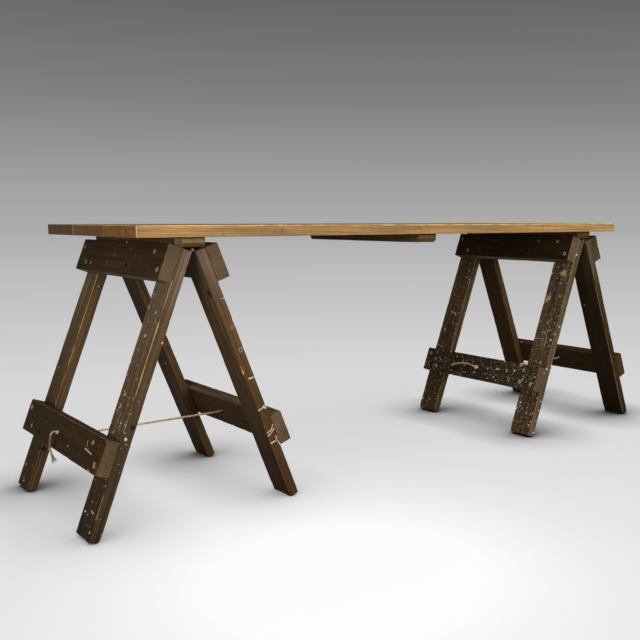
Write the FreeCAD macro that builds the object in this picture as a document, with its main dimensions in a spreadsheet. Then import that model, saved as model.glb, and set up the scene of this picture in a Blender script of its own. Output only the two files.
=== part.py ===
import FreeCAD, Part
import math
import os
import Sketcher

# Folding trestle table: a loose top of three boards on cross battens, standing on two folding trestles.
# Frame: origin on the floor midway between the trestles, +X along the top, +Y to the back, +Z up.
# A trestle is two leg frames hinged at the top. Each frame is drawn in its own flat frame: its origin is on
# the hinge axis, local +X points outwards from the trestle, local -Z runs down the legs.

# Driving sizes in millimetres, angles in degrees
DRIVING_SIZES = (
    # top boards
    ("board_length", 1828.0),
    ("board_width", 224.5),
    ("board_thick", 30.0),
    ("board_gap", 0.75),
    ("board_shift", 17.0),
    # cross battens under the boards
    ("batten_width", 72.0),
    ("batten_thick", 26.0),
    ("left_batten_length", 590.0),
    ("middle_batten_length", 606.0),
    ("right_batten_length", 590.0),
    ("undercut_rise", 12.0),
    ("undercut_run", 10.0),
    ("batten_seat_width", 4.0),
    ("seat_clearance", 0.2),
    ("middle_batten_left", 10.0),
    ("middle_batten_forward", 13.0),
    # trestles
    ("trestle_spacing", 1542.0),
    ("trestle_width", 604.0),
    ("splay_angle", 20.6),
    # legs and rails
    ("leg_length", 744.0),
    ("leg_width", 92.0),
    ("leg_thick", 28.0),
    ("foot_wear", 2.5),
    ("rail_thick", 36.0),
    ("top_rail_depth", 94.0),
    ("lower_rail_depth", 90.0),
    ("lower_rail_drop", 496.0),
    ("worn_end_radius", 20.0),
    # butt hinges between the inner faces of the legs
    ("hinge_length", 75.0),
    ("leaf_width", 28.0),
    ("leaf_thick", 2.5),
    ("leaf_gap", 0.8),
    ("knuckle_diameter", 10.0),
    ("knuckle_gap", 0.3),
    ("leg_top_clearance", 0.5),
    ("pin_diameter", 5.0),
    ("pin_clearance", 0.05),
    ("pin_head_diameter", 7.5),
    ("pin_head_thick", 1.2),
    # slotted countersunk screws
    ("screw_clearance", 0.05),
    ("rail_screw_shank", 6.0),
    ("rail_screw_head", 12.5),
    ("rail_screw_length", 58.0),
    ("rail_screw_pitch", 46.0),
    ("rail_screw_stagger", 48.0),
    ("batten_screw_shank", 5.0),
    ("batten_screw_head", 10.0),
    ("batten_screw_length", 46.0),
    ("batten_screw_pitch", 60.0),
    ("leaf_screw_shank", 4.0),
    ("leaf_screw_head", 7.6),
    ("leaf_screw_length", 22.0),
    ("leaf_screw_pitch", 26.0),
    ("leaf_screw_drop", 17.0),
    # rope stays through the lower rails
    ("rope_diameter", 6.0),
    ("rope_hole", 11.0),
    ("left_rope_shift", 11.0),
    ("right_rope_shift", -3.0),
    ("stitch_pitch", 140.0),
    ("knot_diameter", 14.0),
    ("knot_thick", 8.0),
    ("knot_rounding", 3.0),
)

# Sizes that follow from the driving ones
KNUCKLES = 5
FOLLOWING_SIZES = (
    ("leaf_inside", "=leaf_gap / 2"),
    ("leg_inside", "=leaf_inside + leaf_thick"),
    ("leg_outside", "=leg_inside + leg_thick"),
    ("rail_outside", "=leg_outside + rail_thick"),
    ("leg_top", "=knuckle_diameter / 2 + leg_top_clearance"),
    ("leg_foot", "=leg_top + leg_length"),
    ("leg_centre", "=(trestle_width - leg_width) / 2"),
    ("lower_rail_top", "=leg_top + lower_rail_drop"),
    ("top_rail_middle", "=leg_top + top_rail_depth / 2"),
    ("lower_rail_middle", "=lower_rail_top + lower_rail_depth / 2"),
    ("hinge_height", "=leg_foot * cos(splay_angle) - leg_inside * sin(splay_angle) - foot_wear"),
    ("valley_half", "=leg_top * sin(splay_angle) + leg_inside * cos(splay_angle)"),
    ("valley_height", "=hinge_height - leg_top * cos(splay_angle) + leg_inside * sin(splay_angle)"),
    ("seat_inside", "=batten_width / 2 - batten_seat_width"),
    ("batten_bottom", "=valley_height + (seat_inside - valley_half) * tan(splay_angle) + seat_clearance"),
    ("board_bottom", "=batten_bottom + batten_thick"),
    ("board_pitch", "=board_width + board_gap"),
    ("knuckle_pitch", f"=hinge_length / {KNUCKLES}"),
    ("knuckle_foot", "=knuckle_diameter / 2 + knuckle_gap"),
)

SHEET_NAME = "Sizes"
LEAF_SCREWS = 3
FULL_TURN = 360.0
HALF_TURN = 180.0
QUARTER_TURN = 90.0
COUNTERSINK_ANGLE = 90.0
SCREW_TIP_SHARE = 0.2
SLOT_WIDTH_SHARE = 0.13
SLOT_DEPTH_SHARE = 0.12
ARC_SHARE = 0.45
VOLUME_TOLERANCE_SHARE = 0.01

# The rope's free end, from the mouth of its hole on the rail: outwards, along the rail, upwards
ROPE_TAIL_POINTS = (
    (11.4, 0.0, 4.3),
    (16.2, 0.0, 3.0),
    (20.0, 0.0, -2.2),
    (22.3, -0.5, -11.0),
    (24.6, -1.5, -23.0),
    (25.2, -3.0, -37.0),
    (23.0, -5.0, -51.5),
    (18.6, -7.0, -66.0),
    (12.8, -8.5, -79.5),
)

# The rope's stitch along the face of a rail, from its first hole: off the face, along the rail, up the face
ROPE_STITCH_POINTS = (
    (9.0, 0.0, 0.0),
    (17.5, 7.0, 1.5),
    (21.0, 22.0, 4.5),
    (20.5, 45.0, 7.5),
    (19.0, 70.0, 8.5),
    (20.0, 95.0, 7.0),
    (21.0, 118.0, 4.0),
    (17.5, 133.0, 1.5),
    (9.0, 140.0, 0.0),
)

doc = FreeCAD.newDocument("TrestleTable")
sheet = doc.addObject("Spreadsheet::Sheet", SHEET_NAME)
sub_parts = []


def fill_sheet():
    rows = [(alias, str(value)) for alias, value in DRIVING_SIZES] + list(FOLLOWING_SIZES)
    for row, (alias, content) in enumerate(rows, 1):
        sheet.set(f"A{row}", alias)
        sheet.set(f"B{row}", content)
        sheet.setAlias(f"B{row}", alias)
    doc.recompute()


def size(alias):
    return float(sheet.get(alias))


def cell(alias):
    return f"{SHEET_NAME}.{alias}"


# A body of one node, and the small steps that build it

def new_body(label, placement=None):
    body = doc.addObject("PartDesign::Body", label)
    body.Label = label
    if placement:
        body.setExpression("Placement", placement)
    return body


def sketch_on(body, role, offset=None):
    plane = next(item for item in body.Origin.OriginFeatures if item.Role == role)
    sketch = body.newObject("Sketcher::SketchObject", f"{body.Name}_sketch")
    sketch.AttachmentSupport = [(plane, "")]
    sketch.MapMode = "FlatFace"
    if offset:
        sketch.setExpression("AttachmentOffset.Base.z", offset)
    return sketch


def bind(sketch, constraint, expression):
    index = sketch.addConstraint(constraint)
    sketch.setExpression(f"Constraints[{index}]", expression)


def pin_point(sketch, geometry, point, across, up):
    bind(sketch, Sketcher.Constraint("DistanceX", -1, 1, geometry, point, 1.0), across)
    bind(sketch, Sketcher.Constraint("DistanceY", -1, 1, geometry, point, 1.0), up)


def outline(sketch, corners):
    # The corners start on a unit circle and are then driven to their places
    count = len(corners)
    steps = [2.0 * math.pi * index / count for index in range(count)]
    start = [FreeCAD.Vector(math.cos(step), math.sin(step), 0) for step in steps]
    for index in range(count):
        sketch.addGeometry(Part.LineSegment(start[index], start[(index + 1) % count]), False)
    for index in range(count):
        sketch.addConstraint(Sketcher.Constraint("Coincident", index, 2, (index + 1) % count, 1))
    for index, (across, up) in enumerate(corners):
        pin_point(sketch, index, 1, across, up)


def rectangle(sketch, left, right, bottom, top):
    outline(sketch, ((left, bottom), (right, bottom), (right, top), (left, top)))


def circles(sketch, centres, diameter):
    for across, up in centres:
        circle = Part.Circle(FreeCAD.Vector(0, 0, 0), FreeCAD.Vector(0, 0, 1), 1.0)
        index = sketch.addGeometry(circle, False)
        pin_point(sketch, index, 3, across, up)
        bind(sketch, Sketcher.Constraint("Diameter", index, 1.0), diameter)


def pad(body, sketch, length, symmetric=False):
    feature = body.newObject("PartDesign::Pad", f"{body.Name}_pad")
    feature.Profile = sketch
    feature.setExpression("Length", length)
    if symmetric:
        feature.SideType = "Symmetric"
    doc.recompute()


def revolve(body, sketch):
    feature = body.newObject("PartDesign::Revolution", f"{body.Name}_turned")
    feature.Profile = sketch
    feature.ReferenceAxis = (sketch, ["H_Axis"])
    feature.Angle = FULL_TURN
    doc.recompute()


def round_edges(body, edges, radius):
    solid = body.Tip
    feature = body.newObject("PartDesign::Fillet", f"{body.Name}_rounding")
    feature.Base = (solid, [f"Edge{index + 1}" for index in edges])
    feature.setExpression("Radius", radius)
    doc.recompute()


def check_cut(body, volume_before):
    doc.recompute()
    if not body.Shape.Volume < volume_before:
        raise RuntimeError(f"a cut in {body.Label} removed nothing")


def pocket_through(body, sketch):
    volume_before = body.Shape.Volume
    feature = body.newObject("PartDesign::Pocket", f"{body.Name}_pocket")
    feature.Profile = sketch
    feature.Type = "ThroughAll"
    feature.SideType = "Symmetric"
    check_cut(body, volume_before)


def drill(body, sketch, diameter, depth=None, sink=None, reverse=False):
    doc.recompute()
    volume_before = body.Shape.Volume
    feature = body.newObject("PartDesign::Hole", f"{body.Name}_hole")
    feature.Profile = sketch
    doc.recompute()
    feature.ThreadType = "None"
    feature.DrillPoint = "Flat"
    feature.Reversed = reverse
    feature.setExpression("Diameter", diameter)
    feature.DepthType = "Dimension" if depth else "ThroughAll"
    if depth:
        feature.setExpression("Depth", depth)
    if sink:
        feature.HoleCutType = "Countersink"
        feature.HoleCutCustomValues = True
        feature.setExpression("HoleCutDiameter", sink)
        feature.HoleCutCountersinkAngle = COUNTERSINK_ANGLE
    check_cut(body, volume_before)


def screw_hole(kind):
    return f"{cell(kind + '_screw_shank')} + 2 * {cell('screw_clearance')}"


def screw_sink(kind):
    return f"{cell(kind + '_screw_head')} + 2 * {cell('screw_clearance')}"


# Slotted countersunk wood screws: the head's flat lies at the origin and faces +X

def make_screw(kind):
    head = f"{cell(kind + '_screw_head')} / 2"
    shank = f"{cell(kind + '_screw_shank')} / 2"
    length = cell(kind + "_screw_length")
    body = new_body(f"{kind}_screw_pattern")
    sketch = sketch_on(body, "XZ_Plane")
    outline(sketch, (
        ("0", "0"),
        ("0", head),
        (f"{shank} - {head}", shank),
        (f"-{length} * (1 - {SCREW_TIP_SHARE})", shank),
        (f"-{length}", "0"),
    ))
    revolve(body, sketch)
    slot = sketch_on(body, "YZ_Plane")
    half_slot = f"{cell(kind + '_screw_head')} * {SLOT_WIDTH_SHARE} / 2"
    rectangle(slot, f"-{head}", head, f"-{half_slot}", half_slot)
    volume_before = body.Shape.Volume
    cut = body.newObject("PartDesign::Pocket", f"{body.Name}_slot")
    cut.Profile = slot
    cut.setExpression("Length", f"{cell(kind + '_screw_head')} * {SLOT_DEPTH_SHARE}")
    check_cut(body, volume_before)
    return body.Shape


def add_group(label, shape, places, placement=None):
    group = doc.addObject("Part::Feature", label)
    group.Label = label
    copies = []
    for place in places:
        copy = shape.copy()
        copy.Placement = place
        copies.append(copy)
    group.Shape = Part.makeCompound(copies)
    if placement:
        group.setExpression("Placement", placement)
    sub_parts.append(group)


# Top: three boards on three battens

BOARDS = (("top_board_front", -1), ("top_board_middle", 0), ("top_board_back", 1))
BATTENS = (
    # name, place along the table, place across it
    ("left_batten", f"-{cell('trestle_spacing')} / 2", "0"),
    ("middle_batten", f"-{cell('middle_batten_left')}", f"-{cell('middle_batten_forward')}"),
    ("right_batten", f"{cell('trestle_spacing')} / 2", "0"),
)


def batten_screw_ys():
    half_pitch = f"{cell('batten_screw_pitch')} / 2"
    return [f"{step} * {cell('board_pitch')} {sign} {half_pitch}" for _, step in BOARDS for sign in "-+"]


def make_board(label, step):
    body = new_body(label)
    centre_y = f"{step} * {cell('board_pitch')}"
    half_width = f"{cell('board_width')} / 2"
    half_length = f"{cell('board_length')} / 2"
    shift = cell("board_shift")
    sketch = sketch_on(body, "XY_Plane", cell("board_bottom"))
    rectangle(
        sketch,
        f"-{half_length} - {shift}",
        f"{half_length} - {shift}",
        f"{centre_y} - {half_width}",
        f"{centre_y} + {half_width}",
    )
    pad(body, sketch, cell("board_thick"))
    holes = sketch_on(body, "XY_Plane", cell("board_bottom"))
    half_pitch = f"{cell('batten_screw_pitch')} / 2"
    ys = [f"{centre_y} {sign} {half_pitch}" for sign in "-+"]
    circles(holes, [(batten[1], y) for batten in BATTENS for y in ys], screw_hole("batten"))
    depth = f"{cell('batten_screw_length')} - {cell('batten_thick')} + {cell('screw_clearance')}"
    drill(body, holes, screw_hole("batten"), depth=depth, reverse=True)
    sub_parts.append(body)


def make_batten(label, x, y):
    # The section rests on the sloping tops of a trestle by a narrow bevel along each lower edge
    body = new_body(label, f"placement(vector({x}; {y}; {cell('batten_bottom')}); rotation(0; 0; 0))")
    half_width = f"{cell('batten_width')} / 2"
    seat = cell("seat_inside")
    seat_rise = f"{cell('batten_seat_width')} * tan({cell('splay_angle')})"
    top = cell("batten_thick")
    section = sketch_on(body, "XZ_Plane")
    outline(section, (
        (f"-({seat})", "0"),
        (seat, "0"),
        (half_width, seat_rise),
        (half_width, top),
        (f"-{half_width}", top),
        (f"-{half_width}", seat_rise),
    ))
    length = cell(f"{label}_length")
    pad(body, section, length, symmetric=True)
    half_length = f"{length} / 2"
    for sign in ("-", ""):
        corner = sketch_on(body, "YZ_Plane")
        outline(corner, (
            (f"{sign}({half_length} - {cell('undercut_run')})", "0"),
            (f"{sign}({half_length})", "0"),
            (f"{sign}({half_length})", cell("undercut_rise")),
        ))
        pocket_through(body, corner)
    holes = sketch_on(body, "XY_Plane")
    screws = [("0", f"{screw_y} - ({y})") for screw_y in batten_screw_ys()]
    circles(holes, screws, screw_hole("batten"))
    drill(body, holes, screw_hole("batten"), sink=screw_sink("batten"), reverse=True)
    sub_parts.append(body)


def make_top():
    for label, step in BOARDS:
        make_board(label, step)
    for batten in BATTENS:
        make_batten(*batten)
    head_down = FreeCAD.Rotation(FreeCAD.Vector(0, 1, 0), QUARTER_TURN)
    half_pitch = size("batten_screw_pitch") / 2
    half_spacing = size("trestle_spacing") / 2
    xs = (-half_spacing, -size("middle_batten_left"), half_spacing)
    ys = [step * size("board_pitch") + side * half_pitch for _, step in BOARDS for side in (-1, 1)]
    points = [FreeCAD.Vector(x, y, size("batten_bottom")) for x in xs for y in ys]
    places = [FreeCAD.Placement(point, head_down) for point in points]
    add_group("batten_screws", make_screw("batten"), places)


# Trestles: frames named for the trestle and for the side that they face along the table

FRAMES = (
    ("left_outer", f"-{cell('trestle_spacing')} / 2", HALF_TURN),
    ("left_inner", f"-{cell('trestle_spacing')} / 2", 0),
    ("right_inner", f"{cell('trestle_spacing')} / 2", HALF_TURN),
    ("right_outer", f"{cell('trestle_spacing')} / 2", 0),
)
SIDES = (("front", -1), ("back", 1))


def frame_place(x, turn, y="0"):
    rotation = f"rotation({turn}; -{cell('splay_angle')}; 0)"
    return f"placement(vector({x}; {y}; {cell('hinge_height')}); {rotation})"


def rail_screw_places(rail, leg_y):
    # Each crossing of a leg and a rail has a pair of screws, set slantwise
    drop = cell(f"{rail}_rail_middle")
    half_pitch = f"{cell('rail_screw_pitch')} / 2"
    half_stagger = f"{cell('rail_screw_stagger')} / 2"
    return [(f"{leg_y} {sign} {half_stagger}", f"-({drop} {sign} {half_pitch})") for sign in "-+"]


def leaf_screw_centres():
    steps = range(-(LEAF_SCREWS // 2), LEAF_SCREWS // 2 + 1)
    return [(f"{step} * {cell('leaf_screw_pitch')}", f"-{cell('leaf_screw_drop')}") for step in steps]


def make_leg(label, placement):
    # Cut square at both ends, with the inner edge of the foot worn level with the floor
    body = new_body(label, placement)
    wear_across = f"{cell('foot_wear')} / sin({cell('splay_angle')})"
    wear_up = f"{cell('foot_wear')} / cos({cell('splay_angle')})"
    profile = sketch_on(body, "XZ_Plane")
    outline(profile, (
        (cell("leg_inside"), f"-{cell('leg_top')}"),
        (cell("leg_outside"), f"-{cell('leg_top')}"),
        (cell("leg_outside"), f"-{cell('leg_foot')}"),
        (f"{cell('leg_inside')} + {wear_across}", f"-{cell('leg_foot')}"),
        (cell("leg_inside"), f"{wear_up} - {cell('leg_foot')}"),
    ))
    pad(body, profile, cell("leg_width"), symmetric=True)
    rail_holes = sketch_on(body, "YZ_Plane", cell("leg_outside"))
    circles(rail_holes, rail_screw_places("top", "0") + rail_screw_places("lower", "0"), screw_hole("rail"))
    depth = f"{cell('rail_screw_length')} - {cell('rail_thick')} + {cell('screw_clearance')}"
    drill(body, rail_holes, screw_hole("rail"), depth=depth)
    leaf_holes = sketch_on(body, "YZ_Plane", cell("leg_inside"))
    circles(leaf_holes, leaf_screw_centres(), screw_hole("leaf"))
    depth = f"{cell('leaf_screw_length')} - {cell('leaf_thick')} + {cell('screw_clearance')}"
    drill(body, leaf_holes, screw_hole("leaf"), depth=depth, reverse=True)
    sub_parts.append(body)


def round_worn_end(body):
    # The outer corner of a rail's local +Y end is the edge that lies farthest out along both axes
    centres = [edge.CenterOfMass for edge in body.Tip.Shape.Edges]
    reaches = [centre.x + centre.y for centre in centres]
    round_edges(body, [reaches.index(max(reaches))], cell("worn_end_radius"))


def make_rail(label, placement, rail, top, rope_places=(), worn_end=False):
    body = new_body(label, placement)
    half_width = f"{cell('trestle_width')} / 2"
    bottom = f"-({top} + {cell(rail + '_rail_depth')})"
    face = sketch_on(body, "YZ_Plane", cell("leg_outside"))
    rectangle(face, f"-{half_width}", half_width, bottom, f"-{top}")
    pad(body, face, cell("rail_thick"))
    if worn_end:
        round_worn_end(body)
    holes = sketch_on(body, "YZ_Plane", cell("rail_outside"))
    leg_ys = (f"-{cell('leg_centre')}", cell("leg_centre"))
    circles(holes, [place for y in leg_ys for place in rail_screw_places(rail, y)], screw_hole("rail"))
    drill(body, holes, screw_hole("rail"), sink=screw_sink("rail"))
    if rope_places:
        rope_holes = sketch_on(body, "YZ_Plane", cell("rail_outside"))
        middle = f"-{cell(rail + '_rail_middle')}"
        circles(rope_holes, [(y, middle) for y in rope_places], cell("rope_hole"))
        drill(body, rope_holes, cell("rope_hole"))
    sub_parts.append(body)


def rope_hole_places(frame):
    # Along a frame turned half round, the local Y axis points to the front
    if frame == "left_outer":
        return (f"-{cell('left_rope_shift')}",)
    if frame == "left_inner":
        return (cell("left_rope_shift"),)
    if frame == "right_outer":
        return (cell("right_rope_shift"),)
    return f"-{cell('right_rope_shift')}", f"-({cell('right_rope_shift')} + {cell('stitch_pitch')})"


def make_frame(frame, x, turn, rail_screw):
    flat = frame_place(x, turn)
    for side, sign in SIDES:
        make_leg(f"{frame}_{side}_leg", frame_place(x, turn, f"{sign} * {cell('leg_centre')}"))
    make_rail(f"{frame}_top_rail", flat, "top", cell("leg_top"))
    # The lower rail at the left end of the table is worn round at its front end
    make_rail(
        f"{frame}_lower_rail",
        flat,
        "lower",
        cell("lower_rail_top"),
        rope_hole_places(frame),
        worn_end=frame == "left_outer",
    )
    half_pitch = size("rail_screw_pitch") / 2
    half_stagger = size("rail_screw_stagger") / 2
    middles = (size("top_rail_middle"), size("lower_rail_middle"))
    crossings = [(y, middle) for y in (-size("leg_centre"), size("leg_centre")) for middle in middles]
    points = [
        FreeCAD.Vector(size("rail_outside"), y + side * half_stagger, -(middle + side * half_pitch))
        for y, middle in crossings for side in (-1, 1)
    ]
    places = [FreeCAD.Placement(point, FreeCAD.Rotation()) for point in points]
    add_group(f"{frame}_rail_screws", rail_screw, places, flat)


# Butt hinges: the leaves of the outer frames carry the odd knuckles, those of the inner frames the even ones

def make_leaf(label, placement, first_knuckle):
    body = new_body(label, placement)
    half_length = f"{cell('hinge_length')} / 2"
    knuckle_foot = f"-{cell('knuckle_foot')}"
    plate = sketch_on(body, "YZ_Plane", cell("leaf_inside"))
    rectangle(plate, f"-{half_length}", half_length, f"-{cell('leaf_width')}", knuckle_foot)
    pad(body, plate, cell("leaf_thick"))
    knuckle_length = f"{cell('knuckle_pitch')} - {cell('knuckle_gap')}"
    for index in range(first_knuckle, KNUCKLES, 2):
        # The normal of this plane points to local -Y
        away = f"{KNUCKLES // 2 - index} * {cell('knuckle_pitch')}"
        web = sketch_on(body, "XZ_Plane", away)
        rectangle(web, cell("leaf_inside"), cell("leg_inside"), knuckle_foot, "0")
        pad(body, web, knuckle_length, symmetric=True)
        barrel = sketch_on(body, "XZ_Plane", away)
        circles(barrel, (("0", "0"),), cell("knuckle_diameter"))
        pad(body, barrel, knuckle_length, symmetric=True)
    bore = sketch_on(body, "XZ_Plane")
    circles(bore, (("0", "0"),), f"{cell('pin_diameter')} + 2 * {cell('pin_clearance')}")
    pocket_through(body, bore)
    holes = sketch_on(body, "YZ_Plane", cell("leaf_inside"))
    circles(holes, leaf_screw_centres(), screw_hole("leaf"))
    drill(body, holes, screw_hole("leaf"), sink=screw_sink("leaf"), reverse=True)
    sub_parts.append(body)


def make_pin(label, placement):
    body = new_body(label, placement)
    half_length = f"({cell('hinge_length')} / 2 + {cell('knuckle_gap')})"
    end = f"({half_length} + {cell('pin_head_thick')})"
    shank = f"{cell('pin_diameter')} / 2"
    head = f"{cell('pin_head_diameter')} / 2"
    profile = sketch_on(body, "YZ_Plane")
    outline(profile, (
        (f"-{end}", "0"),
        (end, "0"),
        (end, head),
        (half_length, head),
        (half_length, shank),
        (f"-{half_length}", shank),
        (f"-{half_length}", head),
        (f"-{end}", head),
    ))
    revolve(body, profile)
    sub_parts.append(body)


def make_hinges(trestle, x, leaf_screw):
    frames = [item for item in FRAMES if item[0].startswith(trestle)]
    for side, sign in SIDES:
        y = f"{sign} * {cell('leg_centre')}"
        for frame, _, turn in frames:
            face = frame.split("_")[1]
            first_knuckle = 0 if face == "outer" else 1
            make_leaf(f"{trestle}_{side}_hinge_{face}_leaf", frame_place(x, turn, y), first_knuckle)
        make_pin(f"{trestle}_{side}_hinge_pin", frame_place(x, 0, y))
    head_inwards = FreeCAD.Rotation(FreeCAD.Vector(0, 0, 1), HALF_TURN)
    steps = range(-(LEAF_SCREWS // 2), LEAF_SCREWS // 2 + 1)
    centres = (-size("leg_centre"), size("leg_centre"))
    ys = [centre + step * size("leaf_screw_pitch") for centre in centres for step in steps]
    points = [FreeCAD.Vector(size("leaf_inside"), y, -size("leaf_screw_drop")) for y in ys]
    places = [FreeCAD.Placement(point, head_inwards) for point in points]
    for frame, _, turn in frames:
        add_group(f"{frame}_hinge_screws", leaf_screw, places, frame_place(x, turn))


# Rope stays: straight runs joined by tangent arcs

def rope_path(points):
    edges = []
    radii = []
    start = points[0]
    for before, corner, after in zip(points, points[1:], points[2:]):
        arriving = corner.sub(before)
        leaving = after.sub(corner)
        half_turn = arriving.getAngle(leaving) / 2
        tangent = ARC_SHARE * min(arriving.Length, leaving.Length)
        radius = tangent / math.tan(half_turn)
        arriving.normalize()
        leaving.normalize()
        inward = leaving.sub(arriving).normalize()
        arc_start = corner.sub(FreeCAD.Vector(arriving).multiply(tangent))
        arc_end = corner.add(FreeCAD.Vector(leaving).multiply(tangent))
        middle = corner.add(inward.multiply(radius / math.cos(half_turn) - radius))
        edges.append(Part.LineSegment(start, arc_start).toShape())
        edges.append(Part.Arc(arc_start, middle, arc_end).toShape())
        radii.append(round(radius, 1))
        start = arc_end
    edges.append(Part.LineSegment(start, points[-1]).toShape())
    return Part.Wire(edges), radii


def make_rope(label, points):
    path, radii = rope_path(points)
    radius = size("rope_diameter") / 2
    section = Part.Wire(Part.makeCircle(radius, points[0], points[1].sub(points[0])))
    feature = doc.addObject("Part::Feature", label)
    feature.Label = label
    feature.Shape = path.makePipeShell([section], True, False)
    expected = math.pi * radius ** 2 * path.Length
    if abs(feature.Shape.Volume - expected) > VOLUME_TOLERANCE_SHARE * expected:
        raise RuntimeError(f"{label} has volume {feature.Shape.Volume}, not {expected}")
    print(label, "length", round(path.Length, 1), "radii", radii)
    sub_parts.append(feature)


def make_knot(label, placement):
    # A drawn-up overhand knot, as one rounded lump against the face of its rail
    body = new_body(label, placement)
    sketch = sketch_on(body, "YZ_Plane")
    circles(sketch, (("0", "0"),), cell("knot_diameter"))
    pad(body, sketch, cell("knot_thick"))
    edges = enumerate(body.Tip.Shape.Edges)
    outer = [index for index, edge in edges if len(edge.Vertexes) == 1 and edge.BoundBox.XMin > 0]
    round_edges(body, outer, cell("knot_rounding"))
    sub_parts.append(body)


def face_point(x, turn, out, y, drop):
    # A point of a leg frame: out from the hinge axis, along the trestle, down the legs
    splay = math.radians(size("splay_angle"))
    side = -1.0 if turn else 1.0
    across = drop * math.sin(splay) + out * math.cos(splay)
    up = out * math.sin(splay) - drop * math.cos(splay)
    return FreeCAD.Vector(x + side * across, y, size("hinge_height") + up)


def knot_place(trestle_x, turn, out, y, flip=False):
    pitch = f"{HALF_TURN if flip else 0} - {cell('splay_angle')}"
    rotation = f"rotation({turn}; {pitch}; 0)"
    splay = cell("splay_angle")
    drop = cell("lower_rail_middle")
    sign = "-" if turn else "+"
    x = f"{trestle_x} {sign} ({drop} * sin({splay}) + {out} * cos({splay}))"
    z = f"{cell('hinge_height')} + {out} * sin({splay}) - {drop} * cos({splay})"
    return f"placement(vector({x}; {y}; {z}); {rotation})"


def make_ropes():
    drop = size("lower_rail_middle")
    inside = size("leg_outside")
    outside = size("rail_outside")
    half_spacing = size("trestle_spacing") / 2
    splay = math.radians(size("splay_angle"))

    def span(x, y):
        places = ((0, outside), (0, inside), (HALF_TURN, inside), (HALF_TURN, outside))
        return [face_point(x, turn, out, y, drop) for turn, out in places]

    left_y = size("left_rope_shift")
    make_rope("left_rope_span", span(-half_spacing, left_y))
    mouth = face_point(-half_spacing, HALF_TURN, outside, left_y, drop)
    knot_face = face_point(-half_spacing, HALF_TURN, outside + size("knot_thick"), left_y, drop)
    tail = [mouth.add(FreeCAD.Vector(-out, along, up)) for out, along, up in ROPE_TAIL_POINTS]
    make_rope("left_rope_tail", [knot_face] + tail)

    right_y = size("right_rope_shift")
    make_rope("right_rope_span", span(half_spacing, right_y))
    off_face = FreeCAD.Vector(-math.cos(splay), 0, math.sin(splay))
    up_face = FreeCAD.Vector(math.sin(splay), 0, math.cos(splay))
    first = face_point(half_spacing, HALF_TURN, outside, right_y, drop)
    stitch = [first]
    for off, along, up in ROPE_STITCH_POINTS:
        lifted = first.add(FreeCAD.Vector(off_face).multiply(off)).add(FreeCAD.Vector(up_face).multiply(up))
        stitch.append(lifted.add(FreeCAD.Vector(0, along, 0)))
    stitch.append(face_point(half_spacing, HALF_TURN, inside, right_y + size("stitch_pitch"), drop))
    make_rope("right_rope_stitch", stitch)

    left_x = f"-{cell('trestle_spacing')} / 2"
    right_x = f"{cell('trestle_spacing')} / 2"
    left_shift = cell("left_rope_shift")
    right_shift = cell("right_rope_shift")
    make_knot("left_rope_outer_knot", knot_place(left_x, HALF_TURN, cell("rail_outside"), left_shift))
    make_knot("left_rope_inner_knot", knot_place(left_x, 0, cell("rail_outside"), left_shift))
    make_knot("right_rope_outer_knot", knot_place(right_x, 0, cell("rail_outside"), right_shift))
    stitch_end = f"{right_shift} + {cell('stitch_pitch')}"
    stitch_knot = knot_place(right_x, HALF_TURN, cell("leg_outside"), stitch_end, flip=True)
    make_knot("right_rope_stitch_knot", stitch_knot)


def write_parts():
    failed = [item.Label for item in doc.Objects if {"Invalid", "Error"} & set(item.State)]
    broken = [item.Label for item in sub_parts if item.Shape.isNull() or not item.Shape.isValid()]
    if failed or broken:
        raise RuntimeError(f"failed objects {failed}, broken shapes {broken}")
    os.makedirs("parts", exist_ok=True)
    for item in sub_parts:
        item.Shape.exportStep(os.path.join("parts", f"{item.Label}.step"))
    print(len(sub_parts), "nodes,", sum(len(item.Shape.Solids) for item in sub_parts), "solids")


fill_sheet()
make_top()
rail_screw_shape = make_screw("rail")
leaf_screw_shape = make_screw("leaf")
for frame_name, frame_x, frame_turn in FRAMES:
    make_frame(frame_name, frame_x, frame_turn, rail_screw_shape)
for trestle_name, trestle_sign in (("left", "-"), ("right", "")):
    make_hinges(trestle_name, f"{trestle_sign}{cell('trestle_spacing')} / 2", leaf_screw_shape)
make_ropes()
doc.recompute()
write_parts()
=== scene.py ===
import math

import bmesh
import bpy
import numpy as np
from mathutils import Matrix, Vector


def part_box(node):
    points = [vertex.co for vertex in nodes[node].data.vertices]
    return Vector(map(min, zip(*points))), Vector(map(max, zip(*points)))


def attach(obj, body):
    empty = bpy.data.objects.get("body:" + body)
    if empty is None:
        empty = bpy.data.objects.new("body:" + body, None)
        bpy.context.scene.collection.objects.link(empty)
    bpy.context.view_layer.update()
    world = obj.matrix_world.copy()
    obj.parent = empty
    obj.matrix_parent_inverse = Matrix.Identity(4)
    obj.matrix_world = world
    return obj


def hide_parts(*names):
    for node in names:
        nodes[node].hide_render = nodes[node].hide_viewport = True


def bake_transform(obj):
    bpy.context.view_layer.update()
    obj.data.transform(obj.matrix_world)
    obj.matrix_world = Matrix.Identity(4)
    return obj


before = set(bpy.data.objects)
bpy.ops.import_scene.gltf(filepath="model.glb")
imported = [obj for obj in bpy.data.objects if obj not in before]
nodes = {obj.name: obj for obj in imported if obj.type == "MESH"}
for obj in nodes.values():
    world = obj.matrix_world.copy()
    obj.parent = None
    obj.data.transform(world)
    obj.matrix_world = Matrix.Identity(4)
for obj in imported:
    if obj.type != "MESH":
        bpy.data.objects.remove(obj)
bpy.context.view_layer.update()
mm = 0.001
print("frame loaded:", len(nodes), "nodes")


# Small helpers

def hexToLinear(code):
    channels = [int(code[i:i + 2], 16) / 255 for i in (1, 3, 5)]
    linear = [c / 12.92 if c <= 0.04045 else ((c + 0.055) / 1.055) ** 2.4 for c in channels]
    return (*linear, 1.0)


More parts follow.
